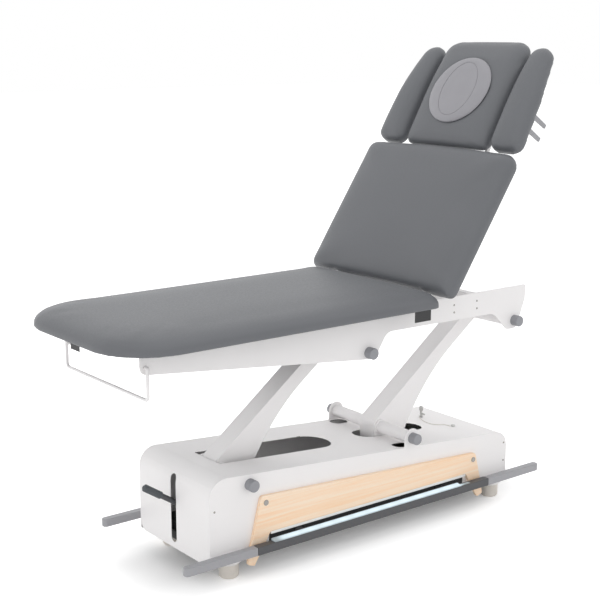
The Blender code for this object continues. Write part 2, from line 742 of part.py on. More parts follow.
def build_caps():
    seats = {"base_foot": (FOOT_PIVOT, BASE_WIDTH / 2, root), "base_head": (HEAD_PIVOT, BASE_WIDTH / 2, root),
             "top_foot": (FOOT_TOP_PIVOT, BEAM_REACH, top), "top_head": (HEAD_TOP_PIVOT, BEAM_REACH, top)}
    for place, (pivot, seat, owner) in seats.items():
        for name, sign in sides():
            spot = pivot if owner is root else (pivot[0] - FOOT_TOP_PIVOT[0], pivot[1] - FOOT_TOP_PIVOT[1])
            cap = add_object(f"pivot_cap_{place}_{name}", cap_mesh(spot, sign, seat), owner, grey)
            shade(cap)


def build_wood_panels():
    (foot_x, foot_z), (head_x, head_z) = WOOD_FOOT_TOP, WOOD_HEAD_TOP
    low = WOOD_LEG_LOW
    outline = rounded([(foot_x, foot_z, 0.012), (-WOOD_LEG_X + 0.006, low + 0.040, 0.010),
                       (-WOOD_LEG_X, low + 0.008, 0.006), (-WOOD_LEG_X + 0.024, low, 0.004),
                       (-WOOD_LEG_INNER, low + 0.050, 0.010), (-WOOD_CUT_HALF, WOOD_CUT_TOP, 0.006),
                       (WOOD_CUT_HALF, WOOD_CUT_TOP, 0.006), (WOOD_LEG_INNER, low + 0.050, 0.010),
                       (WOOD_LEG_X - 0.024, low, 0.004), (WOOD_LEG_X, low + 0.008, 0.006),
                       (WOOD_LEG_X - 0.006, low + 0.040, 0.010), (head_x, head_z, 0.012)])
    for name, sign in sides():
        y0, y1 = span(sign, BASE_WIDTH / 2 + TOUCH, BASE_WIDTH / 2 + TOUCH + WOOD_THICKNESS)
        plate("wood_panel_" + name, [outline], y0, y1, "side", root, beech)


def build_foot_bars():
    inner = BAR_REACH - BAR_SECTION
    low = BAR_TOP - BAR_SECTION
    half = BAR_MIDDLE / 2
    light_y = (inner + BAR_REACH) / 2
    for name, sign in sides():
        pivot = make_empty(f"bar_pivot_{name}", root, (0, sign * BAR_PIVOT_Y, BAR_PIVOT_Z))
        offset = Vector((0, sign * BAR_PIVOT_Y, BAR_PIVOT_Z))

        def local(x, reach, z):
            return Vector((x, sign * reach, z)) - offset

        def block(label, x0, x1, reach0, reach1, z0, z1):
            first, second = local(x0, reach0, z0), local(x1, reach1, z1)
            return box_mesh(label, [min(p) for p in zip(first, second)], [max(p) for p in zip(first, second)])

        bar = add_object("foot_bar_" + name, block("bar", -half, half, inner, BAR_REACH, low, BAR_TOP),
                         pivot, dark)
        cut(bar, block("groove", -LIGHT_LENGTH / 2, LIGHT_LENGTH / 2, light_y - LIGHT_WIDTH / 2,
                       light_y + LIGHT_WIDTH / 2, BAR_TOP - LIGHT_DEPTH, BAR_TOP + 0.01))
        for x in (-BAR_LUG_X, BAR_LUG_X):
            edge = BAR_LUG_WIDTH / 2
            join(bar, block("lug", x - edge, x + edge, BAR_PIVOT_Y, inner + 0.004,
                            BAR_LUG_Z - BAR_LUG_HEIGHT / 2, BAR_LUG_Z + BAR_LUG_HEIGHT / 2),
                 rod_mesh("barrel", local(x - edge, BAR_PIVOT_Y, BAR_PIVOT_Z),
                          local(x + edge, BAR_PIVOT_Y, BAR_PIVOT_Z), BAR_BARREL, 16))
            cut(bar, rod_mesh("bore", local(x - edge - 0.01, BAR_PIVOT_Y, BAR_PIVOT_Z),
                              local(x + edge + 0.01, BAR_PIVOT_Y, BAR_PIVOT_Z), BAR_PIN + RUNNING, 12))
        add_object("light_strip_" + name,
                   block("light", -LIGHT_LENGTH / 2 + TOUCH, LIGHT_LENGTH / 2 - TOUCH,
                         light_y - LIGHT_WIDTH / 2 + TOUCH, light_y + LIGHT_WIDTH / 2 - TOUCH,
                         BAR_TOP - LIGHT_DEPTH + TOUCH, BAR_TOP + 0.0004), pivot, light)
        for end, way in (("foot", -1), ("head", 1)):
            y0, y1 = span(sign, inner - BAR_PIVOT_Y, BAR_REACH - BAR_PIVOT_Y)
            tip = [(way * (half + TOUCH), y0, 0), (way * BAR_LENGTH / 2, y0, BAR_END_ROUND),
                   (way * BAR_LENGTH / 2, y1, BAR_END_ROUND), (way * (half + TOUCH), y1, 0)]
            plate(f"bar_end_{end}_{name}", [rounded(tip)], low - BAR_PIVOT_Z, BAR_TOP - BAR_PIVOT_Z, "top",
                  pivot, pale)


# Castor mechanism

def build_castor_shaft(name, parent):
    """Shaft across the base with two wheel arms and a crank, about its own axis."""
    drop = math.radians(CASTOR_ARM_DROP)
    axle = (-CASTOR_ARM * math.cos(drop), -CASTOR_ARM * math.sin(drop))
    reach = RAIL_INNER + CASTOR_BEARING
    shaft = add_object(name, rod_mesh(name, (0, -reach, 0), (0, reach, 0), CASTOR_SHAFT, 12), parent, steel)
    for _, sign in sides():
        y0, y1 = span(sign, CASTOR_ARM_Y - CASTOR_PLATE / 2, CASTOR_ARM_Y + CASTOR_PLATE / 2)
        arm = [link_outline((0, 0), CASTOR_HUB, axle, CASTOR_TIP), circle(axle, CASTOR_AXLE + RUNNING, 12)]
        join(shaft, plate_mesh("arm", arm, y0, y1, "side"))
    crank = [link_outline((0, 0), CASTOR_HUB, (0, CASTOR_CRANK), CASTOR_EYE)]
    half = CASTOR_PLATE / 2
    join(shaft, plate_mesh("crank", crank, CASTOR_CRANK_Y - half, CASTOR_CRANK_Y + half, "side"),
         rod_mesh("pin", (0, CASTOR_CRANK_Y, CASTOR_CRANK),
                  (0, CASTOR_CRANK_Y - half - CASTOR_PLATE - 0.001, CASTOR_CRANK), CASTOR_PIN, 16))
    shade(shaft)
    return axle


def build_wheelset(name, parent):
    """Two tyred wheels on one axle, turned as a whole."""
    reach = CASTOR_ARM_Y + CASTOR_PLATE / 2 + 0.002
    half = WHEEL_WIDTH / 2
    edge = 0.004
    profile = [(0.0, reach), (CASTOR_AXLE, reach)]
    for middle in (WHEEL_Y, -WHEEL_Y):
        profile += [(CASTOR_AXLE, middle + half), (WHEEL_RADIUS - edge, middle + half),
                    (WHEEL_RADIUS, middle + half - edge), (WHEEL_RADIUS, middle - half + edge),
                    (WHEEL_RADIUS - edge, middle - half), (CASTOR_AXLE, middle - half)]
    profile += [(CASTOR_AXLE, -reach), (0.0, -reach)]
    wheels = add_object(name, turned_mesh(name, profile, (0, 0, 0), (0, 1, 0), 16), parent, black)
    shade(wheels)


def build_castors():
    foot = make_empty("castor_pivot_foot", root, (CASTOR_SHAFT_FOOT_X, 0, CASTOR_SHAFT_Z))
    head = make_empty("castor_pivot_head", root, (CASTOR_SHAFT_HEAD_X, 0, CASTOR_SHAFT_Z))
    for end, pivot in (("foot", foot), ("head", head)):
        axle = build_castor_shaft("castor_shaft_" + end, pivot)
        spin = make_empty(f"wheel_pivot_{end}", pivot, (axle[0], 0, axle[1]))
        build_wheelset("castor_wheels_" + end, spin)
    link = make_empty("link_pivot", foot, (0, 0, CASTOR_CRANK))
    spacing = CASTOR_SHAFT_HEAD_X - CASTOR_SHAFT_FOOT_X
    bar = [link_outline((0, 0), CASTOR_EYE, (spacing, 0), CASTOR_EYE)]
    bar += [circle((x, 0), CASTOR_PIN + RUNNING, 16) for x in (0, spacing)]
    outer = CASTOR_CRANK_Y - CASTOR_PLATE / 2 - SIDE_PLAY
    plate("castor_link", bar, outer - CASTOR_PLATE, outer, "side", link, steel)
    way = math.radians(PEDAL_ANGLE)

    def along(distance):
        return (-distance * math.cos(way), 0, distance * math.sin(way))

    rod = rod_mesh("lever", along(CASTOR_SHAFT + TOUCH), along(PEDAL_LENGTH - 0.01), PEDAL_RADIUS, 16)
    lever = add_object("pedal_lever", rod, foot, dark)
    cut(lever, rod_mesh("seat", (0, -0.03, 0), (0, 0.03, 0), CASTOR_SHAFT + TOUCH))
    shade(lever)
    start, edge = PEDAL_LENGTH - GRIP_LENGTH, 0.005
    bore = PEDAL_RADIUS + TOUCH
    profile = [(0.0, PEDAL_LENGTH), (GRIP_RADIUS - edge, PEDAL_LENGTH), (GRIP_RADIUS, PEDAL_LENGTH - edge),
               (GRIP_RADIUS, start + 0.002), (GRIP_RADIUS - 0.002, start), (bore, start),
               (bore, PEDAL_LENGTH - 0.01 + TOUCH), (0.0, PEDAL_LENGTH - 0.01 + TOUCH)]
    grip = add_object("pedal_grip", turned_mesh("grip", profile, (0, 0, 0), along(1.0), 20), foot, dark)
    shade(grip)


# Lift

def arm_outline():
    """Side view of a lift arm in its own plane: pivot at the origin, arm along +a."""
    end = ARM_LENGTH + 0.018
    drop = Vector((-math.sin(math.radians(ARM_ANGLE)), -math.cos(math.radians(ARM_ANGLE))))
    heel = Vector((-0.008, ARM_ABOVE)) + drop * 0.086
    corners = [(end, ARM_ABOVE, 0.016), (-0.008, ARM_ABOVE, 0.020), (heel.x, heel.y, 0.010),
               (0.042, -0.109, 0.008)]
    steps = 9
    for k in range(1, steps + 1):
        a = 0.042 + (GUSSET_REACH - 0.042) * k / steps
        corners.append((a, -ARM_BELOW - GUSSET_RATE * (GUSSET_REACH - a) ** 2, 0))
    corners.append((end, -ARM_BELOW, 0.012))
    return rounded(corners[::-1], 4)


def cross_tube(radius, reach, outer):
    """Turned profile of a pivot tube: collars beside the arm, stubs through the plates."""
    collar_in = ARM_WIDTH / 2 - 0.002
    collar_out = ARM_WIDTH / 2 + COLLAR_WIDTH
    half = [(0.0, outer), (STUB_RADIUS, outer), (STUB_RADIUS, reach), (radius, reach), (radius, collar_out),
            (COLLAR_RADIUS, collar_out), (COLLAR_RADIUS, collar_in), (radius, collar_in)]
    return half + [(r, -h) for r, h in reversed(half)]


def build_arm(name, parent):
    arm = plate(name, [arm_outline()], -ARM_WIDTH / 2, ARM_WIDTH / 2, "side", parent, white)
    lower = cross_tube(LOWER_TUBE, COVER_HALF - 0.001, BASE_WIDTH / 2)
    upper = cross_tube(UPPER_TUBE, BEAM_REACH - BEAM_PLATE - 0.001, BEAM_REACH)
    join(arm, turned_mesh("lower", lower, (0, 0, 0), (0, 1, 0)),
         turned_mesh("upper", upper, (ARM_LENGTH, 0, 0), (0, 1, 0)))
    return arm


def actuator_z():
    return FOOT_PIVOT[1] + CRANK_OFFSET[1]


def crank_range():
    """The crank plate's faces in y; the actuator's eye runs beside it."""
    inner = ACTUATOR_Y - EYE_PLATE / 2 - SIDE_PLAY
    return inner - CRANK_THICKNESS, inner


def build_lift(bracket_x):
    foot = make_empty("foot_arm_pivot", root, (FOOT_PIVOT[0], 0, FOOT_PIVOT[1]), ARM_ANGLE)
    head = make_empty("head_arm_pivot", root, (HEAD_PIVOT[0], 0, HEAD_PIVOT[1]), ARM_ANGLE)
    foot_arm = build_arm("foot_arm", foot)
    turn = Matrix.Rotation(-math.radians(ARM_ANGLE), 2)
    eye = turn @ Vector(CRANK_OFFSET)
    low, high = crank_range()
    crank = [link_outline((0, 0), CRANK_HUB, eye, CRANK_EYE), circle(eye, CRANK_BOLT)]
    join(foot_arm, plate_mesh("crank", crank, low, high, "side"))
    shade(foot_arm)
    shade(build_arm("head_arm", head))
    z = actuator_z()
    eye_x = FOOT_PIVOT[0] + CRANK_OFFSET[0]
    slide = make_empty("lift_rod_slide", root, (eye_x, ACTUATOR_Y, z))
    rod = add_object("lift_rod", rod_mesh("rod", (ROD_START, 0, 0), (ROD_LENGTH, 0, 0), ROD_RADIUS),
                     slide, steel)
    tip = [link_outline((0, 0), CRANK_EYE, (ROD_START + 0.008, 0), ROD_RADIUS - 0.001),
           circle((0, 0), CRANK_BOLT)]
    join(rod, plate_mesh("eye", tip, -EYE_PLATE / 2, EYE_PLATE / 2, "side"))
    shade(rod)
    bore_end = ACTUATOR_MOUTH + ROD_BORE_DEPTH
    rear = bracket_x - TOUCH
    end = rear - ACTUATOR_NECK
    motor = end - MOTOR_LENGTH
    bore = ROD_RADIUS + RUNNING
    profile = [(0.0, rear), (0.013, rear), (0.013, end), (MOTOR_RADIUS - 0.004, end),
               (MOTOR_RADIUS, end - 0.004), (MOTOR_RADIUS, motor), (ACTUATOR_RADIUS, motor - 0.010),
               (ACTUATOR_RADIUS, ACTUATOR_MOUTH), (bore, ACTUATOR_MOUTH), (bore, bore_end), (0.0, bore_end)]
    actuator = add_object("lift_actuator", turned_mesh("actuator", profile, (0, ACTUATOR_Y, z), (1, 0, 0)),
                          root, pale)
    shade(actuator)


# Top frame, carried by the foot arm at its upper pivot

def beam_outline():
    """Side view of a top beam, with lugs at both lift pivots and an ear at the backrest hinge."""
    (fx, fz), (hx, hz) = FOOT_TOP_PIVOT, HEAD_TOP_PIVOT
    waist = BEAM_TOP - BEAM_WAIST
    ear = HINGE_EAR
    ear_top = BACK_HINGE_Z + ear
    corners = [(BEAM_FOOT_END, BEAM_TOP, 0.004), (BEAM_FOOT_END, BEAM_TOP - BEAM_FOOT_DEPTH, 0.024),
               (fx + 0.027, fz - BEAM_LUG, 0.022), (fx + 0.077, waist, 0.040),
               (hx - 0.102, waist - 0.0055, 0.050), (hx - 0.034, hz - BEAM_LUG - 0.0035, 0.018),
               (hx + 0.012, hz - BEAM_LUG - 0.0035, 0.020), (BEAM_HEAD_END, hz + 0.072, 0.090),
               (BEAM_HEAD_END, BEAM_TOP, 0.006), (BACK_HINGE_X + ear, BEAM_TOP, 0.002),
               (BACK_HINGE_X + ear, ear_top, ear * 0.998), (BACK_HINGE_X - ear, ear_top, ear * 0.998),
               (BACK_HINGE_X - ear, BEAM_TOP, 0.002)]
    return rounded(corners, 5)


def shifted(outline):
    return [(a - FOOT_TOP_PIVOT[0], b - FOOT_TOP_PIVOT[1]) for a, b in outline]


def at_top(x, y, z):
    """A place in the table's frame, as seen from the top frame's pivot."""
    return (x - FOOT_TOP_PIVOT[0], y, z - FOOT_TOP_PIVOT[1])


def build_top_frame():
    holes = [circle(FOOT_TOP_PIVOT, STUB_RADIUS + RUNNING), circle(HEAD_TOP_PIVOT, STUB_RADIUS + RUNNING),
             circle((BACK_HINGE_X, BACK_HINGE_Z), HINGE_PIN + RUNNING, 16)]
    outlines = [shifted(o) for o in [beam_outline()] + holes]
    for name, sign in sides():
        y0, y1 = span(sign, BEAM_REACH - BEAM_PLATE, BEAM_REACH)
        plate("side_beam_" + name, outlines, y0, y1, "side", top, white)
    reach = BEAM_REACH - BEAM_PLATE - TOUCH
    end_z = BEAM_TOP - 0.034
    tube = rod_mesh("tube", at_top(END_TUBE_X, -reach, end_z), at_top(END_TUBE_X, reach, end_z),
                    END_TUBE_RADIUS)
    shade(add_object("end_cross_tube", tube, top, white))
    anchor_z = STRUT_ANCHOR[1] + 0.004
    tube = rod_mesh("tube", at_top(SEAT_TUBE_X, -reach, anchor_z), at_top(SEAT_TUBE_X, reach, anchor_z),
                    SEAT_TUBE_RADIUS)
    seat = add_object("seat_cross_tube", tube, top, white)
    lug = shifted(link_outline((SEAT_TUBE_X, anchor_z), 0.018, STRUT_ANCHOR, STRUT_EYE))
    hole = shifted(circle(STRUT_ANCHOR, STRUT_BOLT, 12))
    high = STRUT_Y - STRUT_EYE_PLATE / 2 - SIDE_PLAY
    join(seat, plate_mesh("lug", [lug, hole], high - STRUT_PLATE, high, "side"))
    shade(seat)
    cross_top = BEAM_TOP - FRAME_BAR - 0.0015
    half = HEAD_CROSS_WIDTH / 2
    cross = box_mesh("cross", at_top(HEAD_CROSS_X - half, -reach, cross_top - HEAD_CROSS_HEIGHT),
                     at_top(HEAD_CROSS_X + half, reach, cross_top))
    add_object("head_cross_tube", cross, top, white)
    low_z = ROLL_SCREW_Z - ROLL_DROP
    bend = 0.012
    half_path = [(BEAM_REACH + TOUCH, ROLL_SCREW_Z), (ROLL_REACH - 0.004, ROLL_SCREW_Z),
                 (ROLL_REACH - 0.001, ROLL_SCREW_Z - 0.001), (ROLL_REACH, ROLL_SCREW_Z - 0.004)]
    for k in range(5):
        t = math.pi / 2 * k / 4
        half_path.append((ROLL_REACH - bend + bend * math.cos(t), low_z + bend - bend * math.sin(t)))
    whole_path = half_path + [(-y, z) for y, z in reversed(half_path)]
    path = [at_top(ROLL_X, y, z) for y, z in whole_path]
    roll = add_object("roll_holder", wire_mesh("roll", path, ROLL_ROD, 2), top, white)
    shade(roll)


def build_strut():
    hinge = Vector((BACK_HINGE_X, BACK_HINGE_Z))
    eye = hinge + Matrix.Rotation(math.radians(BACK_ANGLE), 2) @ Vector(STRUT_CRANK)
    run = eye - Vector(STRUT_ANCHOR)
    tilt = math.degrees(math.atan2(run.y, run.x))
    base = at_top(STRUT_ANCHOR[0], STRUT_Y, STRUT_ANCHOR[1])
    pivot = make_empty("strut_pivot", top, base, tilt)
    mouth = STRUT_TUBE_LENGTH
    bottom = run.length - STRUT_ROD_LENGTH - 0.110
    bore = STRUT_ROD + RUNNING
    profile = [(bore, mouth), (STRUT_TUBE, mouth), (STRUT_TUBE, 0.018), (0.0, 0.018)]
    profile = [(0.0, bottom), (bore, bottom)] + profile
    tube = add_object("strut_tube", turned_mesh("tube", profile, (0, 0, 0), (1, 0, 0), 20), pivot, black)
    eye_plate = [link_outline((0, 0), STRUT_EYE, (0.024, 0), 0.0080), circle((0, 0), STRUT_BOLT, 12)]
    join(tube, plate_mesh("eye", eye_plate, -STRUT_EYE_PLATE / 2, STRUT_EYE_PLATE / 2, "side"))
    shade(tube)
    start = run.length - STRUT_ROD_LENGTH
    slide = make_empty("strut_rod_slide", pivot, (start, 0, 0))
    rod = add_object("strut_rod", rod_mesh("rod", (0, 0, 0), (STRUT_ROD_LENGTH - 0.026, 0, 0), STRUT_ROD, 16),
                     slide, steel)
    far = STRUT_ROD_LENGTH
    tip = [link_outline((far, 0), STRUT_EYE, (far - 0.032, 0), 0.0075), circle((far, 0), STRUT_BOLT, 12)]
    join(rod, plate_mesh("eye", tip, -STRUT_EYE_PLATE / 2, STRUT_EYE_PLATE / 2, "side"))
    shade(rod)


# Upholstery

def pad_rings(corners, low, roll, joins=(), crown=PAD_CROWN, widest=0.26, least=0.020,
              thickness=PAD_THICKNESS, end_roll=PAD_END_ROLL):
    """Rings of a cushion: flat underside, cover drawn in below, rounded edge, crowned top.

    The corners numbered in joins lie at an end that meets another cushion; the rounding is short there.
    """
    high = low + thickness
    side = high - PAD_ROUND
    levels = [(PAD_TUCK + 0.006, low), (PAD_TUCK, low + 0.0015), (PAD_TUCK * 0.35, low + 0.008), (0.0, side)]
    steps = 5
    for k in range(1, steps + 1):
        t = math.pi / 2 * k / steps
        levels.append((roll * (1 - math.cos(t)), side + PAD_ROUND * math.sin(t)))
    rises = 3
    for k in range(1, rises + 1):
        share = k / rises
        depth = roll + (widest - roll) * share
        levels.append((depth, high + crown * (1 - (1 - share) ** 2)))
    middle = sum(corner[0] for corner in corners) / len(corners)
    rings = []
    for depth, z in levels:
        outline = inset(corners, depth, least)
        if z > side:
            for i in joins:
                a, b, radius = outline[i]
                spare = depth * (1 - end_roll / roll)
                outline[i] = (a - math.copysign(spare, middle - a), b, radius)
        rings.append([(a, b, z) for a, b in rounded(outline, 5)])
    return rings


def notch_mesh(sign, place, run, low, high):
    """A block to cut from a cushion where a backrest hinge stands in its end."""
    y0, y1 = span(sign, BACK_LUG_Y - HINGE_PLATE / 2 - HINGE_NOTCH, BEAM_REACH + HINGE_NOTCH)
    return box_mesh("notch", place(run[0], y0, low), place(run[1], y1, high))


def build_seat():
    half = TABLE_WIDTH / 2
    corners = [(SEAT_FOOT_END, -half, SEAT_FOOT_CORNER), (SEAT_HEAD_END, -half, SEAT_HEAD_CORNER),
               (SEAT_HEAD_END, half, SEAT_HEAD_CORNER), (SEAT_FOOT_END, half, SEAT_FOOT_CORNER)]
    rings = pad_rings(corners, SEAT_LOW, SEAT_ROLL, (1, 2))
    seat = add_object("seat_cushion", loft_mesh("seat", [[at_top(*p) for p in ring] for ring in rings]),
                      top, vinyl)
    reach = HINGE_EAR + HINGE_NOTCH
    for _, sign in sides():
        run = (BACK_HINGE_X - reach, SEAT_HEAD_END + 0.010)
        cut(seat, notch_mesh(sign, at_top, run, SEAT_LOW - 0.010, BACK_HINGE_Z + reach))
    shade(seat)


def hinge_foot(near, far, way):
    """L-shaped hinge lug: an eye at the origin, a leg beside the cushion, a foot under the bars."""
    ear = HINGE_EAR
    leg = near * way
    high, low = BAR_UPPER - 0.001, BAR_LOWER - 0.001
    corners = [(-ear * way, ear, ear * 0.998), (ear * way, ear, ear * 0.998), (leg, high, 0.001),
               (far * way, high, 0), (far * way, low, 0), (-ear * way, low, 0.004)]
    return rounded(corners if way < 0 else corners[::-1])


def build_backrest():
    half = BACK_WIDTH / 2
    shoulder = BACK_END - BACK_BOW
    corners = [(PAD_HINGE_GAP, -half, BACK_LOW_CORNER), (shoulder, -half, BACK_TOP_CORNER),
               (BACK_END, 0.0, BACK_BOW_RADIUS), (shoulder, half, BACK_TOP_CORNER),
               (PAD_HINGE_GAP, half, BACK_LOW_CORNER)]
    rings = pad_rings(corners, PAD_LOW, BACK_ROLL, range(5), thickness=BACK_THICKNESS, end_roll=BACK_END_ROLL)
    cushion = add_object("back_cushion", loft_mesh("back", rings), back, vinyl)
    for _, sign in sides():
        run = (PAD_HINGE_GAP - 0.010, HINGE_LEG + HINGE_NOTCH)
        cut(cushion, notch_mesh(sign, lambda *p: p, run, PAD_LOW - 0.010, HINGE_EAR + HINGE_NOTCH))
    shade(cushion)
    outer = BACK_LUG_Y + HINGE_PLATE / 2
    head_edge = HEAD_HINGE_S - 0.030
    rail = outer - 0.002
    outlines = [rectangle(0.030, -rail, head_edge, rail, 0.010)]
    window = outer - 0.040
    middle = (0.030 + head_edge) / 2
    for a0, a1 in ((0.070, middle - 0.020), (middle + 0.020, head_edge - 0.040)):
        outlines.append(rectangle(a0, -window, a1, window, 0.012))
    frame = plate("back_frame", outlines, BAR_LOWER, BAR_UPPER, "top", back, white)
    for _, sign in sides():
        y0, y1 = span(sign, BACK_LUG_Y - HINGE_PLATE / 2, outer)
        lug = plate_mesh("lug", [hinge_foot(HINGE_LEG, 0.060, 1)], y0, y1, "side")
        pin = rod_mesh("pin", (0, sign * BACK_LUG_Y, 0), (0, sign * (BEAM_REACH - 0.0005), 0), HINGE_PIN, 16)
        y0, y1 = span(sign, HEAD_EAR_Y - HINGE_PLATE / 2, HEAD_EAR_Y + HINGE_PLATE / 2)
        ear = link_outline((HEAD_HINGE_S, HEAD_HINGE_T), HEAD_EAR,
                           (head_edge - 0.010, BAR_LOWER + 0.001), 0.0050)
        hole = circle((HEAD_HINGE_S, HEAD_HINGE_T), HINGE_PIN + RUNNING, 16)
        join(frame, lug, pin, plate_mesh("ear", [ear, hole], y0, y1, "side"))
    high = STRUT_Y - STRUT_EYE_PLATE / 2 - SIDE_PLAY
    crank = [link_outline((0.048, BAR_LOWER - 0.010), 0.0160, STRUT_CRANK, STRUT_EYE),
             circle(STRUT_CRANK, STRUT_BOLT, 12)]
    join(frame, plate_mesh("crank", crank, high - STRUT_PLATE, high, "side"))
    shade(frame)


# Head section, in its own plane: origin on the hinge axis, which lies under the cushions

def build_head():
    half = HEAD_WIDTH / 2
    near = HEAD_HINGE_GAP
    corners = [(near, -half, HEAD_LOW_CORNER), (near + HEAD_LENGTH, -half, HEAD_TOP_CORNER),
               (near + HEAD_LENGTH, half, HEAD_TOP_CORNER), (near, half, HEAD_LOW_CORNER)]
    rings = pad_rings(corners, HEAD_PAD_LOW, HEAD_ROLL, (0, 3), widest=0.15)
    cushion = add_object("head_cushion", loft_mesh("head", rings), head, vinyl)
    middle = (near + FACE_HOLE_FROM_END, 0.0)
    hole = ellipse(middle, FACE_HOLE_LENGTH / 2, FACE_HOLE_WIDTH / 2)
    cut(cushion, plate_mesh("hole", [hole], HEAD_PAD_LOW - 0.01, HEAD_PAD_LOW + 0.10, "top"))
    shade(cushion)
    build_plug(middle)
    upper, lower = BAR_UPPER - HEAD_HINGE_T, BAR_LOWER - HEAD_HINGE_T
    wide = HEAD_FRAME_WIDTH / 2
    window = wide - HEAD_RAIL
    outlines = [rectangle(HEAD_FRAME_FROM, -wide, HEAD_FRAME_TO, wide, 0.020),
                rectangle(HEAD_FRAME_FROM + HEAD_RAIL, -window, HEAD_FRAME_TO - HEAD_TOP_RAIL, window, 0.060)]
    frame = plate("head_frame", outlines, lower, upper, "top", head, white)
    pivot_t = lower - 0.0042
    reach = ARM_BRACKET_Y + 0.006
    join(frame, rod_mesh("pivot", (ARM_PIVOT_S, -reach, pivot_t), (ARM_PIVOT_S, reach, pivot_t),
                         ARM_PIVOT_ROD, 16))
    for _, sign in sides():
        inner = HEAD_EAR_Y - HINGE_PLATE - 0.0010
        y0, y1 = span(sign, inner - HINGE_PLATE / 2, inner + HINGE_PLATE / 2)
        eye = link_outline((0, 0), HEAD_EAR, (0.038, upper - 0.006), 0.0050)
        lug = plate_mesh("lug", [eye], y0, y1, "side")
        outer = HEAD_EAR_Y + HINGE_PLATE / 2
        pin = rod_mesh("pin", (0, sign * inner, 0), (0, sign * outer, 0), HINGE_PIN, 16)
        join(frame, lug, pin)
    shade(frame)
    build_armrests(upper, pivot_t)


def build_plug(middle):
    """Oval face-hole plug: a stem in the hole and a domed rim with a raised oval in it."""
    high = HEAD_PAD_LOW + PAD_THICKNESS + PAD_CROWN + TOUCH
    stem_a, stem_b = FACE_HOLE_LENGTH / 2 - 0.003, FACE_HOLE_WIDTH / 2 - 0.003
    rim_a, rim_b = FACE_HOLE_LENGTH / 2 + PLUG_RIM, FACE_HOLE_WIDTH / 2 + PLUG_RIM
    inner_a, inner_b = rim_a * 0.77, rim_b * 0.64
    levels = [(stem_a - 0.002, stem_b - 0.002, high - 0.045), (stem_a, stem_b, high - 0.040),
              (stem_a, stem_b, high), (rim_a - 0.003, rim_b - 0.003, high), (rim_a, rim_b, high + 0.003),
              (rim_a - 0.004, rim_b - 0.004, high + PLUG_RISE * 0.6),
              (rim_a - 0.014, rim_b - 0.014, high + PLUG_RISE * 0.92),
              (inner_a + 0.003, inner_b + 0.003, high + PLUG_RISE),
              (inner_a, inner_b, high + PLUG_RISE - 0.0015),
              (inner_a - 0.003, inner_b - 0.003, high + PLUG_RISE)]
    rings = [[(a, b, z) for a, b in ellipse(middle, half_a, half_b)] for half_a, half_b, z in levels]
    slide = make_empty("plug_slide", head, (0, 0, 0))
    shade(add_object("face_plug", loft_mesh("plug", rings), slide, plug_grey))


def build_armrests(upper, pivot_t):
    start = HEAD_HINGE_GAP - ARMREST_DROP
    inner = HEAD_WIDTH / 2 + ARMREST_GAP
    end = start + ARMREST_LENGTH
    strip_low = upper - ARM_BRACKET_PLATE
    for name, sign in sides():
        pivot = make_empty(f"armrest_pivot_{name}", head, (ARM_PIVOT_S, 0, pivot_t))

        def local(outline):
            return [(a - ARM_PIVOT_S, b - pivot_t) for a, b in outline]

        corners = [(start, inner, 0.012), (end, inner, 0.030), (end, inner + ARMREST_TOP_WIDTH, 0.040),
                   ((start + end) / 2, inner + ARMREST_MID_WIDTH, 0.300),
                   (start, inner + ARMREST_LOW_WIDTH, 0.024)]
        rings = pad_rings(corners, HEAD_PAD_LOW, ARMREST_ROLL, crown=0.003, widest=0.037, least=0.003)
        rings = [[(a - ARM_PIVOT_S, sign * b, z - pivot_t) for a, b, z in ring] for ring in rings]
        shade(add_object("armrest_" + name, loft_mesh("armrest", rings), pivot, vinyl))
        y0, y1 = span(sign, ARM_BRACKET_Y - ARM_BRACKET_WIDTH / 2, ARM_BRACKET_Y + ARM_BRACKET_WIDTH / 2)
        strip = rectangle(ARM_BRACKET_FROM - ARM_PIVOT_S, y0, 0.015, y1, 0.006)
        bracket = plate("armrest_bracket_" + name, [strip], strip_low - pivot_t, upper - pivot_t, "top",
                        pivot, white)
        y0, y1 = span(sign, ARM_BRACKET_Y - TAIL_PLATE / 2, ARM_BRACKET_Y + TAIL_PLATE / 2)
        knuckle = [circle((0, 0), ARM_PIVOT_ROD + 0.0045), circle((0, 0), ARM_PIVOT_ROD + RUNNING, 16)]
        join(bracket, plate_mesh("knuckle", knuckle, y0, y1, "side"))
        for place in TAIL_PLACES:
            half = TAIL_WIDTH / 2
            tail_end = -TAIL_REACH - HEAD_HINGE_T
            tail = rounded([(place - half, upper - 0.002, 0), (place - half, tail_end, 0.003),
                            (place + half * 0.5, tail_end, 0.003), (place + half, upper - 0.002, 0)])
            join(bracket, plate_mesh("tail", [local(tail)], y0, y1, "side"))


# Small parts on and in the base

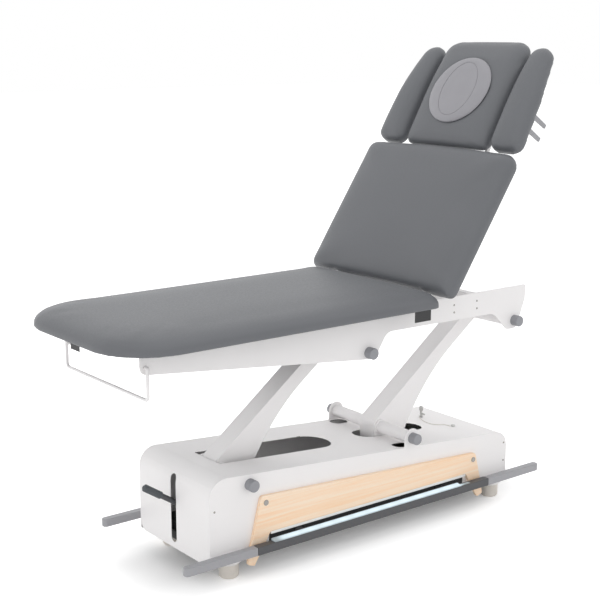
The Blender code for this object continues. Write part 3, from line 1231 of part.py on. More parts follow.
def build_lock():
    x, y = LOCK_PLACE
    seat = cover_top(x) + TOUCH + COVER_FALL * LOCK_RADIUS
    pin = LOCK_RADIUS * 0.6
    profile = [(0.0, LOCK_HEIGHT), (pin, LOCK_HEIGHT), (LOCK_RADIUS, LOCK_HEIGHT - 0.004),
               (LOCK_RADIUS, LOCK_HEIGHT - 0.016), (pin, LOCK_HEIGHT - 0.019), (pin, 0.006),
               (LOCK_RADIUS, 0.004), (LOCK_RADIUS, 0.0), (pin, 0.0), (pin, -0.020), (0.0, -0.020)]
    slide = make_empty("lock_slide", root, (x, y, seat))
    lock = add_object("lock_pin", turned_mesh("lock", profile, (0, 0, 0), (0, 0, 1), 12), slide, steel)
    join(lock, rod_mesh("wing", (0, -0.018, 0.013), (0, 0.004, 0.013), 0.0032, 12))
    shade(lock)
    sx, sy = STUD_PLACE
    base = cover_top(sx) + TOUCH + COVER_FALL * STUD_RADIUS
    profile = [(0.0, 0.005), (STUD_RADIUS * 0.7, 0.005), (STUD_RADIUS, 0.002), (STUD_RADIUS, 0.0),
               (STUD_RADIUS * 0.4, 0.0), (STUD_RADIUS * 0.4, -0.012), (0.0, -0.012)]
    stud = turned_mesh("stud", profile, (sx, sy, base), (0, 0, 1), 12)
    shade(add_object("lanyard_stud", stud, root, steel))
    shade(add_object("lock_lanyard", wire_mesh("lanyard", lanyard_path(), LANYARD_RADIUS, 1), root, cream))


def lanyard_path():
    """The lanyard's way over the cover, from the pin's collar round to the stud."""
    (x0, y0), (x1, y1) = LOCK_PLACE, STUD_PLACE
    clear = LANYARD_RADIUS + 0.0012
    route = [(x0 - LOCK_RADIUS - clear, y0 - 0.002), (x0 - 0.022, y0 - 0.022), (x0 - 0.034, y0 - 0.052),
             (x0 - 0.038, y0 - 0.080), (x0 - 0.031, y0 - 0.100), (x0 - 0.014, y0 - 0.113),
             (x0 + 0.002, y0 - 0.119), (x1 - STUD_RADIUS - clear, y1 + 0.002)]
    lift = LANYARD_RADIUS + TOUCH
    smooth = spline_points(route, 4)
    return [(x, y, cover_top(x) + lift) for x, y in smooth]


def spline_points(points, steps):
    """Catmull-Rom curve through points."""
    padded = [points[0]] + list(points) + [points[-1]]
    smooth = []
    for i in range(1, len(padded) - 2):
        p0, p1, p2, p3 = (Vector(p) for p in padded[i - 1:i + 3])
        for k in range(steps):
            t = k / steps
            spot = 0.5 * (2 * p1 + (p2 - p0) * t + (2 * p0 - 5 * p1 + 4 * p2 - p3) * t ** 2
                          + (3 * p1 - p0 - 3 * p2 + p3) * t ** 3)
            smooth.append(tuple(spot))
    smooth.append(tuple(points[-1]))
    return smooth


def build_control_box():
    length, width, height = CONTROL_BOX
    outer = RAIL_OUTER - 0.025
    low = RAIL_TOP + TOUCH
    case = box_mesh("case", (CONTROL_BOX_X, outer - width, low),
                    (CONTROL_BOX_X + length, outer, low + height))
    control = add_object("control_box", case, root, black)
    edge = control.modifiers.new("rounded edges", "BEVEL")
    edge.width = 0.004
    edge.segments = 2
    return control


clear_scene()
parts = make_collection("physiotherapy_table")
cutters = make_collection("cutters")
white = make_material("white_powder_coat", WHITE_PAINT, 0.45)
grey = make_material("grey_plastic", GREY_PLASTIC, 0.5)
dark = make_material("dark_grey_coat", DARK_GREY, 0.5)
pale = make_material("light_grey_coat", PALE_GREY, 0.45)
cream = make_material("cream_plastic", WHITE_PAINT, 0.6)
vinyl = make_material("grey_upholstery", VINYL_GREY, 0.55)
plug_grey = make_material("plug_grey", PLUG_GREY, 0.4)
beech = make_material("beech", BEECH, 0.5)
steel = make_material("zinc_plated_steel", STEEL, 0.35, 1.0)
light = make_material("light_diffuser", LIGHT, 0.3)
black = make_material("black_plastic", BLACK, 0.5)

root = bpy.data.objects.new("table", None)
parts.objects.link(root)
root.location = (-REFERENCE_X, 0.0, 0.0)
top = make_empty("top_frame_pivot", root, (FOOT_TOP_PIVOT[0], 0, FOOT_TOP_PIVOT[1]))
back = make_empty("back_pivot", top, at_top(BACK_HINGE_X, 0, BACK_HINGE_Z), BACK_ANGLE)
head = make_empty("head_pivot", back, (HEAD_HINGE_S, 0, HEAD_HINGE_T), HEAD_ANGLE)

bracket_face = build_base_frame()
build_side_plates()
build_foot_cover()
build_top_cover()
build_feet()
build_caps()
build_wood_panels()
build_foot_bars()
build_castors()
build_lift(bracket_face)
build_top_frame()
build_strut()
build_seat()
build_backrest()
build_head()
build_lock()
build_control_box()
bpy.context.view_layer.update()
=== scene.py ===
"""Looks of an electric physiotherapy table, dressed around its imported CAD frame.

Metres, in the CAD's own frame: +X towards the head end, near side -Y, floor at Z = 0.
"""

import json
import math

import bmesh
import bpy
from bpy.props import FloatProperty, FloatVectorProperty, IntProperty, PointerProperty
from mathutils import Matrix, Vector

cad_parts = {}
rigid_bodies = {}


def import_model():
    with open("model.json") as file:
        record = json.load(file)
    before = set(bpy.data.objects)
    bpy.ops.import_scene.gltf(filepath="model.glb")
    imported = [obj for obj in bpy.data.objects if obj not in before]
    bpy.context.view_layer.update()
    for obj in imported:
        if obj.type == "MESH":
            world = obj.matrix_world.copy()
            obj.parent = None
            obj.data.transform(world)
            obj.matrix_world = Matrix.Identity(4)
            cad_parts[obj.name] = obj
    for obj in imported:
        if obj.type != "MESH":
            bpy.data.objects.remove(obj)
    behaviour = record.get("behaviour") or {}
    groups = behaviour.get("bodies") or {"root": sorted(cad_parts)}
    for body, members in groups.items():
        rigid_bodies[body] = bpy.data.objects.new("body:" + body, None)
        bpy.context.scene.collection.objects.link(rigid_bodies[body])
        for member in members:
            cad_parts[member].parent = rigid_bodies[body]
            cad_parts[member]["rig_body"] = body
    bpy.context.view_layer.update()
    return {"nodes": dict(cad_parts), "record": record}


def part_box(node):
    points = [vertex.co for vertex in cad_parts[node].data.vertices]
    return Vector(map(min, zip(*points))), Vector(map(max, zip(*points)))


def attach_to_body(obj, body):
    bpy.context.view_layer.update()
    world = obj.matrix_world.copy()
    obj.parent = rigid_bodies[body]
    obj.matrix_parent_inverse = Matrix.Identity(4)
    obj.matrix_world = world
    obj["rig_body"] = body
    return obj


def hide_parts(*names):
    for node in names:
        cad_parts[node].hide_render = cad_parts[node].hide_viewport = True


bl_info = {
    "name": "Physiotherapy Table Looks",
    "version": (1, 0, 0),
    "blender": (4, 5, 0),
    "location": "View3D > Sidebar > Table",
    "description": "Upholstery, coated steel, beech and light for a treatment table's CAD frame",
    "category": "Object",
}

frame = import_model()
NODES = frame["nodes"]
BODY_OF = {node: obj["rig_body"] for node, obj in NODES.items()}
SLOT_OF = {row["node"]: row["material_slot"] for row in frame["record"]["subparts"]}
SIDES = (("near", -1), ("far", 1))
ENDS = ("foot", "head")
MM = 0.001


def linear(hex_colour):
    """Linear RGB of an sRGB hex colour."""
    channels = [int(hex_colour[i:i + 2], 16) / 255 for i in (1, 3, 5)]
    return tuple(c / 12.92 if c <= 0.04045 else ((c + 0.055) / 1.055) ** 2.4 for c in channels)


def colour_setting(name, description, hex_colour):
    return FloatVectorProperty(name=name, description=description, subtype="COLOR", size=3,
                               min=0.0, max=1.0, default=linear(hex_colour))


def length_setting(name, description, default):
    return FloatProperty(name=name, description=description, subtype="DISTANCE", unit="LENGTH",
                         min=0.0, precision=5, default=default)


def level_setting(name, description, default, unit="NONE"):
    return FloatProperty(name=name, description=description, unit=unit, min=0.0, default=default)


class TableColours(bpy.types.PropertyGroup):
    """Colours of the table's finishes."""
    white_coat: colour_setting("White coat", "Powder coat of base, arms and beams", "#f4f2f2")
    vinyl: colour_setting("Vinyl", "Leathercloth of seat, back, head and arms", "#66686c")
    dust_cover: colour_setting("Dust cover", "Cloth under the cushions", "#1d1d1f")
    cap: colour_setting("Caps", "Moulded pivot caps", "#939499")
    dark_coat: colour_setting("Dark coat", "Middle of the foot bars, pedal lever", "#4b4c4f")
    pale_coat: colour_setting("Pale coat", "Ends of the foot bars", "#a0a0a4")
    grip: colour_setting("Grip", "Rubber grip of the pedal", "#54585c")
    foot: colour_setting("Feet", "Cream plastic of the feet", "#e3ddd5")
    plug: colour_setting("Plug", "Face-hole plug", "#959499")
    beech_pale: colour_setting("Beech, pale", "Early wood of the side panels", "#ffead3")
    beech_dark: colour_setting("Beech, dark", "Late wood of the side panels", "#fed7b0")
    steel: colour_setting("Zinc", "Plated rods, pins and shafts", "#c8c8c6")
    trim: colour_setting("Trim", "Aluminium trim under the wooden panels", "#f4f4f2")
    screw: colour_setting("Screws", "Screw heads on panels and plates", "#9a9894")
    # Colour of the glow painted on the foot bars' tops, standing for the light that falls on them
    light: colour_setting("Light", "Glow of the strip in the foot bars", "#def1fa")
    # Its black also paints shade: in the recess behind the foot bars and inside the base
    black: colour_setting("Black plastic", "Housings, recess and tags", "#1e1e20")
    cord: colour_setting("Cord", "Lanyard of the lock pin", "#e6e2da")


class TableSizes(bpy.types.PropertyGroup):
    """Sizes of what the CAD frame leaves to the looks."""
    edge: length_setting("Sheet edge", "Rounding of sheet and plate edges", 0.6 * MM)
    beam_edge: length_setting("Beam edge", "Rounding of beams and flat bars", 1.0 * MM)
    arm_edge: length_setting("Arm edge", "Rounding of the lift arms' folded edges", 2.0 * MM)
    wood_edge: length_setting("Panel edge", "Rounding of the wooden panels", 1.0 * MM)
    bar_edge: length_setting("Bar edge", "Rounding of the foot bars", 1.6 * MM)
    tip_edge: length_setting("Bar end edge", "Rounding of the foot bars' ends", 3.0 * MM)
    cap_rounding: length_setting("Cap rounding", "Rounded rim of a pivot cap", 2.6 * MM)
    panel_screw: length_setting("Panel screw", "Radius of a wooden panel's screw", 9.0 * MM)
    plate_screw: length_setting("Plate screw", "Radius of a side plate's screw", 3.4 * MM)
    trim_height: length_setting("Trim height", "Bright trim along the panel's cut", 8.0 * MM)
    lens_width: length_setting("Lens width", "Opal cover over the light strip", 21.5 * MM)
    lens_height: length_setting("Lens height", "Opal cover above the foot bar, at its back", 6.5 * MM)
    pad_shrink: length_setting("Pad shrink", "How much a pad is drawn in before it swells", 2.2 * MM)
    pad_swell: length_setting("Pad swell", "How far a pad's cover may swell", 3.4 * MM)
    pad_frames: IntProperty(name="Swelling frames", description="Frames that the cloth runs", default=20,
                            min=2, max=60)


class TableStage(bpy.types.PropertyGroup):
    """Camera, floor and lights."""
    lens: FloatProperty(name="Lens", description="Focal length on a 36 mm sensor", default=75.31,
                        unit="CAMERA", min=1.0)
    floor: colour_setting("Floor", "Colour of the studio floor", "#f4f4f4")
    floor_half: length_setting("Half floor", "Half the width of the floor", 30.0)
    sky: level_setting("Surround, high", "Strength of the studio light from above", 0.55)
    horizon: level_setting("Surround, low", "Strength of the studio light from the walls", 1.03)
    key_power: level_setting("Key", "Power of the overhead panel", 50.0, "POWER")
    fill_power: level_setting("Fill", "Power of the panel beside the camera", 15.0, "POWER")
    foot_power: level_setting("Foot fill", "Power of the panel past the foot end", 3.0, "POWER")
    far_power: level_setting("Far fill", "Power of the low panel beyond the table", 20.0, "POWER")
    near_glow: level_setting("Floor glow, near", "Glow of the floor under the base", 0.10)
    far_glow: level_setting("Floor glow, far", "Glow of the floor away from the table", 0.60)


# Nodes

NOISE_LOW, NOISE_HIGH = 0.3, 0.7    # most of a noise texture lies between these


def add_node(tree, kind, settings=None, links=None):
    """Add a node: settings are its attributes or input values, links are what feeds an input."""
    node = tree.nodes.new(kind)
    for key, value in (settings or {}).items():
        if isinstance(key, str) and hasattr(node, key):
            setattr(node, key, value)
        else:
            node.inputs[key].default_value = value
    for key, output in (links or {}).items():
        tree.links.new(output, node.inputs[key])
    return node


def per_metre(millimetres):
    """Texture scale on Object coordinates for a feature of that size."""
    return 1000.0 / millimetres


def start_material(name, colour, roughness, **sockets):
    """A Principled material and its Object coordinates."""
    material = bpy.data.materials.new(name)
    material.use_nodes = True
    tree = material.node_tree
    shader = tree.nodes["Principled BSDF"]
    shader.inputs["Base Color"].default_value = (*colour, 1.0)
    shader.inputs["Roughness"].default_value = roughness
    for key, value in sockets.items():
        shader.inputs[key.replace("_", " ")].default_value = value
    place = add_node(tree, "ShaderNodeTexCoord").outputs["Object"]
    return tree, shader, place


def vary_colour(tree, shader, factor, first, second):
    """Run the base colour between two tones."""
    mix = add_node(tree, "ShaderNodeMix", {"data_type": "RGBA", 6: (*first, 1.0), 7: (*second, 1.0)},
                   {0: factor})
    tree.links.new(mix.outputs[2], shader.inputs["Base Color"])


def vary_roughness(tree, shader, factor, low, high):
    """Run the roughness between two values."""
    run = add_node(tree, "ShaderNodeMapRange", {"From Min": NOISE_LOW, "From Max": NOISE_HIGH,
                                                "To Min": low, "To Max": high}, {"Value": factor})
    tree.links.new(run.outputs["Result"], shader.inputs["Roughness"])


def tint(tree, shader, factor, colour, first, second):
    """Run the base colour between two shares of one colour."""
    vary_colour(tree, shader, factor, scaled(colour, first), scaled(colour, second))


def add_bump(tree, shader, height, strength, depth):
    bump = add_node(tree, "ShaderNodeBump", {"Strength": strength, "Distance": depth}, {"Height": height})
    tree.links.new(bump.outputs["Normal"], shader.inputs["Normal"])


def scaled(colour, share):
    return tuple(min(1.0, c * share) for c in colour)


def drawn_out(tree, place, length, width, detail, distortion=0.0, slant=0.0):
    """Noise drawn out along X, for features of that length and width in millimetres."""
    stretched = add_node(tree, "ShaderNodeMapping", {"Rotation": (0.0, slant, 0.0), "Scale": (
        per_metre(length), per_metre(width), per_metre(width))}, {"Vector": place})
    noise = add_node(tree, "ShaderNodeTexNoise", {"Scale": 1.0, "Detail": detail, "Distortion": distortion},
                     {"Vector": stretched.outputs[0]})
    return noise.outputs["Fac"]


# Finishes

def coated_steel(name, colour, peel_mm, roughness):
    """Powder-coated steel: sprayed and baked, so even in colour, satin, with a faint orange peel."""
    tree, shader, place = start_material(name, colour, roughness, IOR=1.5)
    broad = add_node(tree, "ShaderNodeTexNoise", {"Scale": per_metre(160), "Detail": 2.0}, {"Vector": place})
    tint(tree, shader, broad.outputs["Fac"], colour, 0.975, 1.02)
    # Orange peel is under 1 mm across; drawn coarser, so that it breaks up the gloss in the render
    peel = add_node(tree, "ShaderNodeTexNoise", {"Scale": per_metre(peel_mm), "Detail": 1.0},
                    {"Vector": place})
    vary_roughness(tree, shader, peel.outputs["Fac"], roughness - 0.05, roughness + 0.05)
    add_bump(tree, shader, peel.outputs["Fac"], 0.10, 0.05 * MM)


def leathercloth(name, colour):
    """PVC leathercloth over foam: an embossed pebble grain, satin, a little darker in its valleys."""
    tree, shader, place = start_material(name, colour, 0.46, IOR=1.5, Sheen_Weight=0.06, Sheen_Roughness=0.4)
    # Real pebbles are about 0.8 mm; drawn at 2 mm to show
    pebbles = add_node(tree, "ShaderNodeTexVoronoi", {"Scale": per_metre(2.0), "Randomness": 0.9},
                       {"Vector": place})
    creases = add_node(tree, "ShaderNodeTexNoise", {"Scale": per_metre(5.0), "Detail": 4.0},
                       {"Vector": place})
    grain = add_node(tree, "ShaderNodeMath", {"operation": "MULTIPLY"},
                     {0: pebbles.outputs["Distance"], 1: creases.outputs["Fac"]})
    broad = add_node(tree, "ShaderNodeTexNoise", {"Scale": per_metre(260), "Detail": 3.0}, {"Vector": place})
    tone = add_node(tree, "ShaderNodeMath", {"operation": "MULTIPLY_ADD", 1: 0.5},
                    {0: grain.outputs[0], 2: broad.outputs["Fac"]})
    tint(tree, shader, tone.outputs[0], colour, 1.07, 0.93)
    vary_roughness(tree, shader, creases.outputs["Fac"], 0.40, 0.52)
    add_bump(tree, shader, grain.outputs[0], 0.30, 0.25 * MM)


def nonwoven(name, colour):
    """Spun-bonded polypropylene: matt, with the dots of its heat bonding, about 3 mm apart."""
    tree, shader, place = start_material(name, colour, 0.9, IOR=1.49)
    bonds = add_node(tree, "ShaderNodeTexVoronoi", {"Scale": per_metre(3.0), "Randomness": 0.15},
                     {"Vector": place})
    tint(tree, shader, bonds.outputs["Distance"], colour, 0.7, 1.3)
    add_bump(tree, shader, bonds.outputs["Distance"], 0.3, 0.2 * MM)


def moulded_plastic(name, colour, roughness):
    """Injection-moulded ABS or polyamide: even colour, with the mould's fine spark-eroded texture."""
    tree, shader, place = start_material(name, colour, roughness, IOR=1.53)
    # Spark erosion leaves pits of about 0.1 mm; drawn at 1.5 mm to show
    pits = add_node(tree, "ShaderNodeTexNoise", {"Scale": per_metre(1.5), "Detail": 2.0}, {"Vector": place})
    flow = add_node(tree, "ShaderNodeTexNoise", {"Scale": per_metre(45), "Detail": 2.0}, {"Vector": place})
    tint(tree, shader, flow.outputs["Fac"], colour, 0.96, 1.04)
    vary_roughness(tree, shader, pits.outputs["Fac"], roughness - 0.06, roughness + 0.06)
    add_bump(tree, shader, pits.outputs["Fac"], 0.12, 0.06 * MM)


def rubber(name, colour):
    """Moulded rubber: matt, dusty in its pores."""
    tree, shader, place = start_material(name, colour, 0.75, IOR=1.52)
    # Pores are well under 1 mm; drawn at 2.5 mm to show
    pores = add_node(tree, "ShaderNodeTexNoise", {"Scale": per_metre(2.5), "Detail": 5.0}, {"Vector": place})
    tint(tree, shader, pores.outputs["Fac"], colour, 0.85, 1.15)
    vary_roughness(tree, shader, pores.outputs["Fac"], 0.66, 0.86)
    add_bump(tree, shader, pores.outputs["Fac"], 0.2, 0.1 * MM)


VENEER_SLANT = 0.06      # radians between the wood's fibres and the panel's length


def beech(name, pale, dark):
    """Lacquered beech veneer: long soft figure along the panel, short darker ray flecks, satin lacquer."""
    tree, shader, place = start_material(name, pale, 0.42, IOR=1.52, Coat_Weight=0.15, Coat_Roughness=0.3)
    # Figure about 400 mm long and 9 mm wide, ray flecks about 14 mm long and 1.2 mm wide
    figure = drawn_out(tree, place, 400, 9, 4.0, 0.6, VENEER_SLANT)
    flecks = drawn_out(tree, place, 14, 1.2, 2.0, slant=VENEER_SLANT)
    spots = add_node(tree, "ShaderNodeMapRange", {"From Min": 0.55, "From Max": 0.75, "To Max": 0.45},
                     {"Value": flecks})
    spread = add_node(tree, "ShaderNodeMapRange", {"From Min": 0.30, "From Max": 0.72}, {"Value": figure})
    tone = add_node(tree, "ShaderNodeMath", {"operation": "ADD", "use_clamp": True},
                    {0: spread.outputs["Result"], 1: spots.outputs["Result"]})
    vary_colour(tree, shader, tone.outputs[0], pale, dark)
    vary_roughness(tree, shader, figure, 0.36, 0.48)
    add_bump(tree, shader, flecks, 0.08, 0.05 * MM)


def plated_steel(name, colour, roughness):
    """Zinc-plated or anodised metal: bright, faintly streaked by drawing or turning."""
    tree, shader, place = start_material(name, colour, roughness, Metallic=1.0)
    # Streaks about 30 mm long; under 0.1 mm wide in life, drawn at 1.2 mm to show
    streaks = drawn_out(tree, place, 30, 1.2, 3.0)
    tint(tree, shader, streaks, colour, 0.9, 1.06)
    vary_roughness(tree, shader, streaks, roughness - 0.06, roughness + 0.08)


GLOW_AHEAD = 14.0 * MM    # the painted glow's middle stands this much nearer the foot end than its strip's middle
# Half the width of the full painted glow, and of its faint painted rest, along the strip and across it
GLOW_ALONG = (370.0 * MM, 405.0 * MM)
GLOW_ACROSS = (3.0 * MM, 15.0 * MM)
GLOW, FAINT_SHARE = 0.85, 0.25
WAVE_BANDS = 20.0 / math.tau    # bands per unit that a Wave Texture draws at scale 1


def painted_glow(name, colour):
    """Opal acrylic with a painted glow, standing for the light that falls on the foot bar's top: even, with
    faint painted bands.
    """
    tree, shader, place = start_material(name, scaled(colour, 0.35), 0.35, IOR=1.49)
    # Faint painted bands, one for each diode of the strip that lights the bar; diodes stand about 17 mm
    # apart, drawn at 66 mm to show
    glow_bands = add_node(tree, "ShaderNodeTexWave",
                      {"bands_direction": "X", "Scale": per_metre(66) / WAVE_BANDS}, {"Vector": place})
    mix = add_node(tree, "ShaderNodeMix", {"data_type": "RGBA", 6: (*scaled(colour, 0.88), 1.0),
                                           7: (*colour, 1.0)}, {0: glow_bands.outputs["Fac"]})
    tree.links.new(mix.outputs[2], shader.inputs["Emission Color"])
    # The painted glow fades towards the strip's ends and sides, as the light on the bar's top does
    low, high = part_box("light_strip_far")
    mirrored = add_node(tree, "ShaderNodeVectorMath", {"operation": "ABSOLUTE"}, {0: place})
    ends = add_node(tree, "ShaderNodeSeparateXYZ", links={0: place})
    side = add_node(tree, "ShaderNodeSeparateXYZ", links={0: mirrored.outputs[0]})
    fades = []
    for output, middle, (full, faint) in ((ends.outputs["X"], (low.x + high.x) / 2 - GLOW_AHEAD, GLOW_ALONG),
                                          (side.outputs["Y"], (low.y + high.y) / 2, GLOW_ACROSS)):
        away = add_node(tree, "ShaderNodeMath", {"operation": "SUBTRACT", 1: middle}, {0: output})
        distance = add_node(tree, "ShaderNodeMath", {"operation": "ABSOLUTE"}, {0: away.outputs[0]})
        fade = add_node(tree, "ShaderNodeMapRange", {
            "interpolation_type": "SMOOTHSTEP", "From Min": full, "From Max": faint, "To Min": 1.0,
            "To Max": FAINT_SHARE}, {"Value": distance.outputs[0]})
        fades.append(fade.outputs["Result"])
    both = add_node(tree, "ShaderNodeMath", {"operation": "MULTIPLY"}, {0: fades[0], 1: fades[1]})
    glow = add_node(tree, "ShaderNodeMath", {"operation": "MULTIPLY", 1: GLOW}, {0: both.outputs[0]})
    tree.links.new(glow.outputs[0], shader.inputs["Emission Strength"])


def braided_cord(name, colour):
    """Braided polyester cord: matt, with the light and dark of its crossing strands, 1 mm wide."""
    tree, shader, place = start_material(name, colour, 0.8, IOR=1.5, Sheen_Weight=0.2)
    strands = add_node(tree, "ShaderNodeTexVoronoi", {"Scale": per_metre(1.0), "Randomness": 0.4},
                       {"Vector": place})
    tint(tree, shader, strands.outputs["Distance"], colour, 0.8, 1.0)
    add_bump(tree, shader, strands.outputs["Distance"], 0.5, 0.2 * MM)


def finish(name):
    """A finish made earlier, by name."""
    return bpy.data.materials[name]


FINISH_OF_SLOT = {
    "white_powder_coat": "powder_coated_steel_white", "grey_plastic": "moulded_abs_grey",
    "dark_grey_coat": "powder_coated_steel_dark", "dark_grip": "nitrile_rubber_grip",
    "light_grey_coat": "powder_coated_steel_pale", "cream_plastic": "moulded_polyamide_cream",
    "lanyard_cord": "braided_polyester_cord", "grey_upholstery": "pvc_leathercloth_grey",
    "plug_plastic": "moulded_abs_pale", "beech_panel": "lacquered_beech_veneer",
    "zinc_steel": "zinc_plated_steel", "light_diffuser": "opal_acrylic_light",
    "black_plastic": "moulded_abs_black", "castor_tyre": "castor_tread_rubber",
}


# Pieces

SAME_POINT = 0.005 * MM
SAME_PLANE = math.radians(0.5)
SHARP_EDGE = math.radians(50.0)    # a convex edge past this angle is eased


def merged(node):
    """A CAD node's mesh with its loose triangles joined to flat faces, as a bmesh."""
    bm = bmesh.new()
    bm.from_mesh(NODES[node].data)
    bmesh.ops.remove_doubles(bm, verts=bm.verts, dist=SAME_POINT)
    bmesh.ops.dissolve_limit(bm, angle_limit=SAME_PLANE, verts=bm.verts, edges=bm.edges)
    return bm


def new_piece(name, mesh, material):
    piece = bpy.data.objects.new(name, mesh)
    bpy.context.scene.collection.objects.link(piece)
    mesh.materials.clear()
    mesh.materials.append(material)
    return piece


def mesh_from(bm, name):
    mesh = bpy.data.meshes.new(name)
    bm.to_mesh(mesh)
    bm.free()
    return mesh


def evaluated_mesh(obj):
    bpy.context.view_layer.update()
    graph = bpy.context.evaluated_depsgraph_get()
    return bpy.data.meshes.new_from_object(obj.evaluated_get(graph))


def smooth_shading(mesh, degrees=35.0):
    mesh.shade_smooth()
    mesh.set_sharp_from_angle(angle=math.radians(degrees))


def settle(piece, node, *more):
    """Let a piece ride where its node rides, and stand for it."""
    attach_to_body(piece, BODY_OF[node])
    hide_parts(node, *more)


def add_bevel(piece, width, segments):
    bevel = piece.modifiers.new("eased edges", "BEVEL")
    bevel.width = width
    bevel.segments = segments
    bevel.harden_normals = True
    return bevel


def eased(node, width, segments=2):
    """A copy of a node whose outer edges are rounded, as folded, cut or moulded edges are."""
    bm = merged(node)
    weight = bm.edges.layers.float.new("bevel_weight_edge")
    for edge in bm.edges:
        if edge.is_manifold and edge.is_convex and edge.calc_face_angle() > SHARP_EDGE:
            edge[weight] = 1.0
    mesh = mesh_from(bm, node)
    smooth_shading(mesh)
    piece = new_piece(node + "_finished", mesh, finish(FINISH_OF_SLOT[SLOT_OF[node]]))
    bevel = add_bevel(piece, width, segments)
    bevel.limit_method = "WEIGHT"
    bevel.use_clamp_overlap = False
    settle(piece, node)
    return piece


def add_prism(bm, outline, low, high, along="y"):
    """Add a prism of the (x, z) outline from y = low to y = high, or of a (y, z) outline along x."""
    near, far = ([bm.verts.new((a, depth, z) if along == "y" else (depth, a, z)) for a, z in outline]
                 for depth in (low, high))
    faces = [bm.faces.new(near), bm.faces.new(far[::-1])]
    for i in range(len(outline)):
        faces.append(bm.faces.new((near[i - 1], far[i - 1], far[i], near[i])))
    bmesh.ops.recalc_face_normals(bm, faces=faces)


def rectangle(x0, z0, x1, z1):
    return [(x0, z0), (x1, z0), (x1, z1), (x0, z1)]


def sheet_piece(name, prisms, material_name, edge):
    """A piece of prisms, each given as add_prism takes it, with eased edges."""
    bm = bmesh.new()
    for prism in prisms:
        add_prism(bm, *prism)
    mesh = mesh_from(bm, name)
    smooth_shading(mesh)
    piece = new_piece(name, mesh, finish(material_name))
    add_bevel(piece, edge, 2)
    return piece


def attach(piece, body):
    """Let a piece ride a body without standing for a node."""
    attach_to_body(piece, body)


def outward(sign, inner, outer):
    """An interval in y, from the middle outwards on one side."""
    return min(sign * inner, sign * outer), max(sign * inner, sign * outer)


# Upholstery

# Pads and the voxels of their even meshes, in millimetres
PADS = {"seat_cushion": 11.0, "back_cushion": 9.0, "head_cushion": 6.0, "armrest_near": 6.0,
        "armrest_far": 6.0}
PAD_FLAT = 3.0 * MM      # underside: the cover is stapled to the board up to here
PAD_SMOOTHINGS = 6
UNDERSIDE = -0.9         # a face whose normal falls this far has the dust cover

# The head section is bowed lengthwise: millimetres that a cover falls at its low and top end, and the radii
# of its corners there
ARMREST_BOW = (8.0, 17.0, 38.0, 46.0)
HEAD_PADS = {"head_cushion": (8.0, 14.0, 12.0, 24.0), "armrest_near": ARMREST_BOW, "armrest_far": ARMREST_BOW}
HEAD_CROWN = 6.0 * MM    # rise in the middle of the bow
BOW_POWER = 2.2          # the fall gathers towards the ends
CORNER_BAND = 8.0 * MM   # slice beside a corner's start that tells the pad's width
# Millimetres that the foam reaches past the board at a pad's low and top end, to close the hinge's gap
PAD_REACH = {"head_cushion": (8.0, 9.0), "back_cushion": (0.0, 7.0)}
REACH_POWER = 3

COVER_CLOTH = {"quality": 6, "mass": 0.4, "tension_stiffness": 25.0, "compression_stiffness": 25.0,
               "bending_stiffness": 2.0, "use_pressure": True, "uniform_pressure_force": 4.0,
               "vertex_group_mass": "stapled"}


def remeshed(pad, voxel):
    """Give a pad an even mesh of voxels that size, in millimetres."""
    remesh = pad.modifiers.new("even mesh", "REMESH")
    remesh.mode = "VOXEL"
    remesh.voxel_size = voxel * MM
    pad.data = evaluated_mesh(pad)
    pad.modifiers.clear()
    return pad.data


def extent(places, axis):
    """Least and greatest of the places along an axis."""
    values = [place[axis] for place in places]
    return min(values), max(values)


def lengthwise(place, first, last):
    """-1 at a laid pad's low end, 1 at its top end."""
    return 2.0 * (place.x - first) / (last - first) - 1.0


def rounded_end(places, end, inward, radius):
    """Draw in the corners of a laid pad's outline at one end, to arcs of that radius."""
    start = end + inward * radius
    left, right = extent([place for place in places if abs(place.x - start) < CORNER_BAND], 1)
    middle, half = (right + left) / 2, (right - left) / 2
    for place in places:
        past = (start - place.x) * inward / radius
        if past > 0.0:
            drawn_in = radius * (1.0 - math.sqrt(1.0 - min(past, 1.0) ** 2))
            place.y = middle + (place.y - middle) * max(0.0, 1.0 - drawn_in / half)


def bow_pad(mesh, low_fall, top_fall, low_corner, top_corner):
    """Bow a pad of the head section lengthwise and round its ends; its underside stays flat."""
    places = [vert.co for vert in mesh.vertices]
    (first, last), (low, high) = extent(places, 0), extent(places, 2)
    rounded_end(places, first, 1, low_corner)
    rounded_end(places, last, -1, top_corner)
    for place in places:
        along = lengthwise(place, first, last)
        fall = (top_fall if along > 0.0 else low_fall) * abs(along) ** BOW_POWER
        place.z += (HEAD_CROWN * (1.0 - along ** 2) - fall) * (place.z - low) / (high - low)


def lengthen(mesh, low_reach, top_reach):
    """Draw out the ends of a laid pad above its board."""
    places = [vert.co for vert in mesh.vertices]
    (first, last), (low, _) = extent(places, 0), extent(places, 2)
    for place in places:
        along = lengthwise(place, first, last)
        if place.z > low + PAD_FLAT:
            place.x += top_reach * max(along, 0.0) ** REACH_POWER
            place.x -= low_reach * max(-along, 0.0) ** REACH_POWER


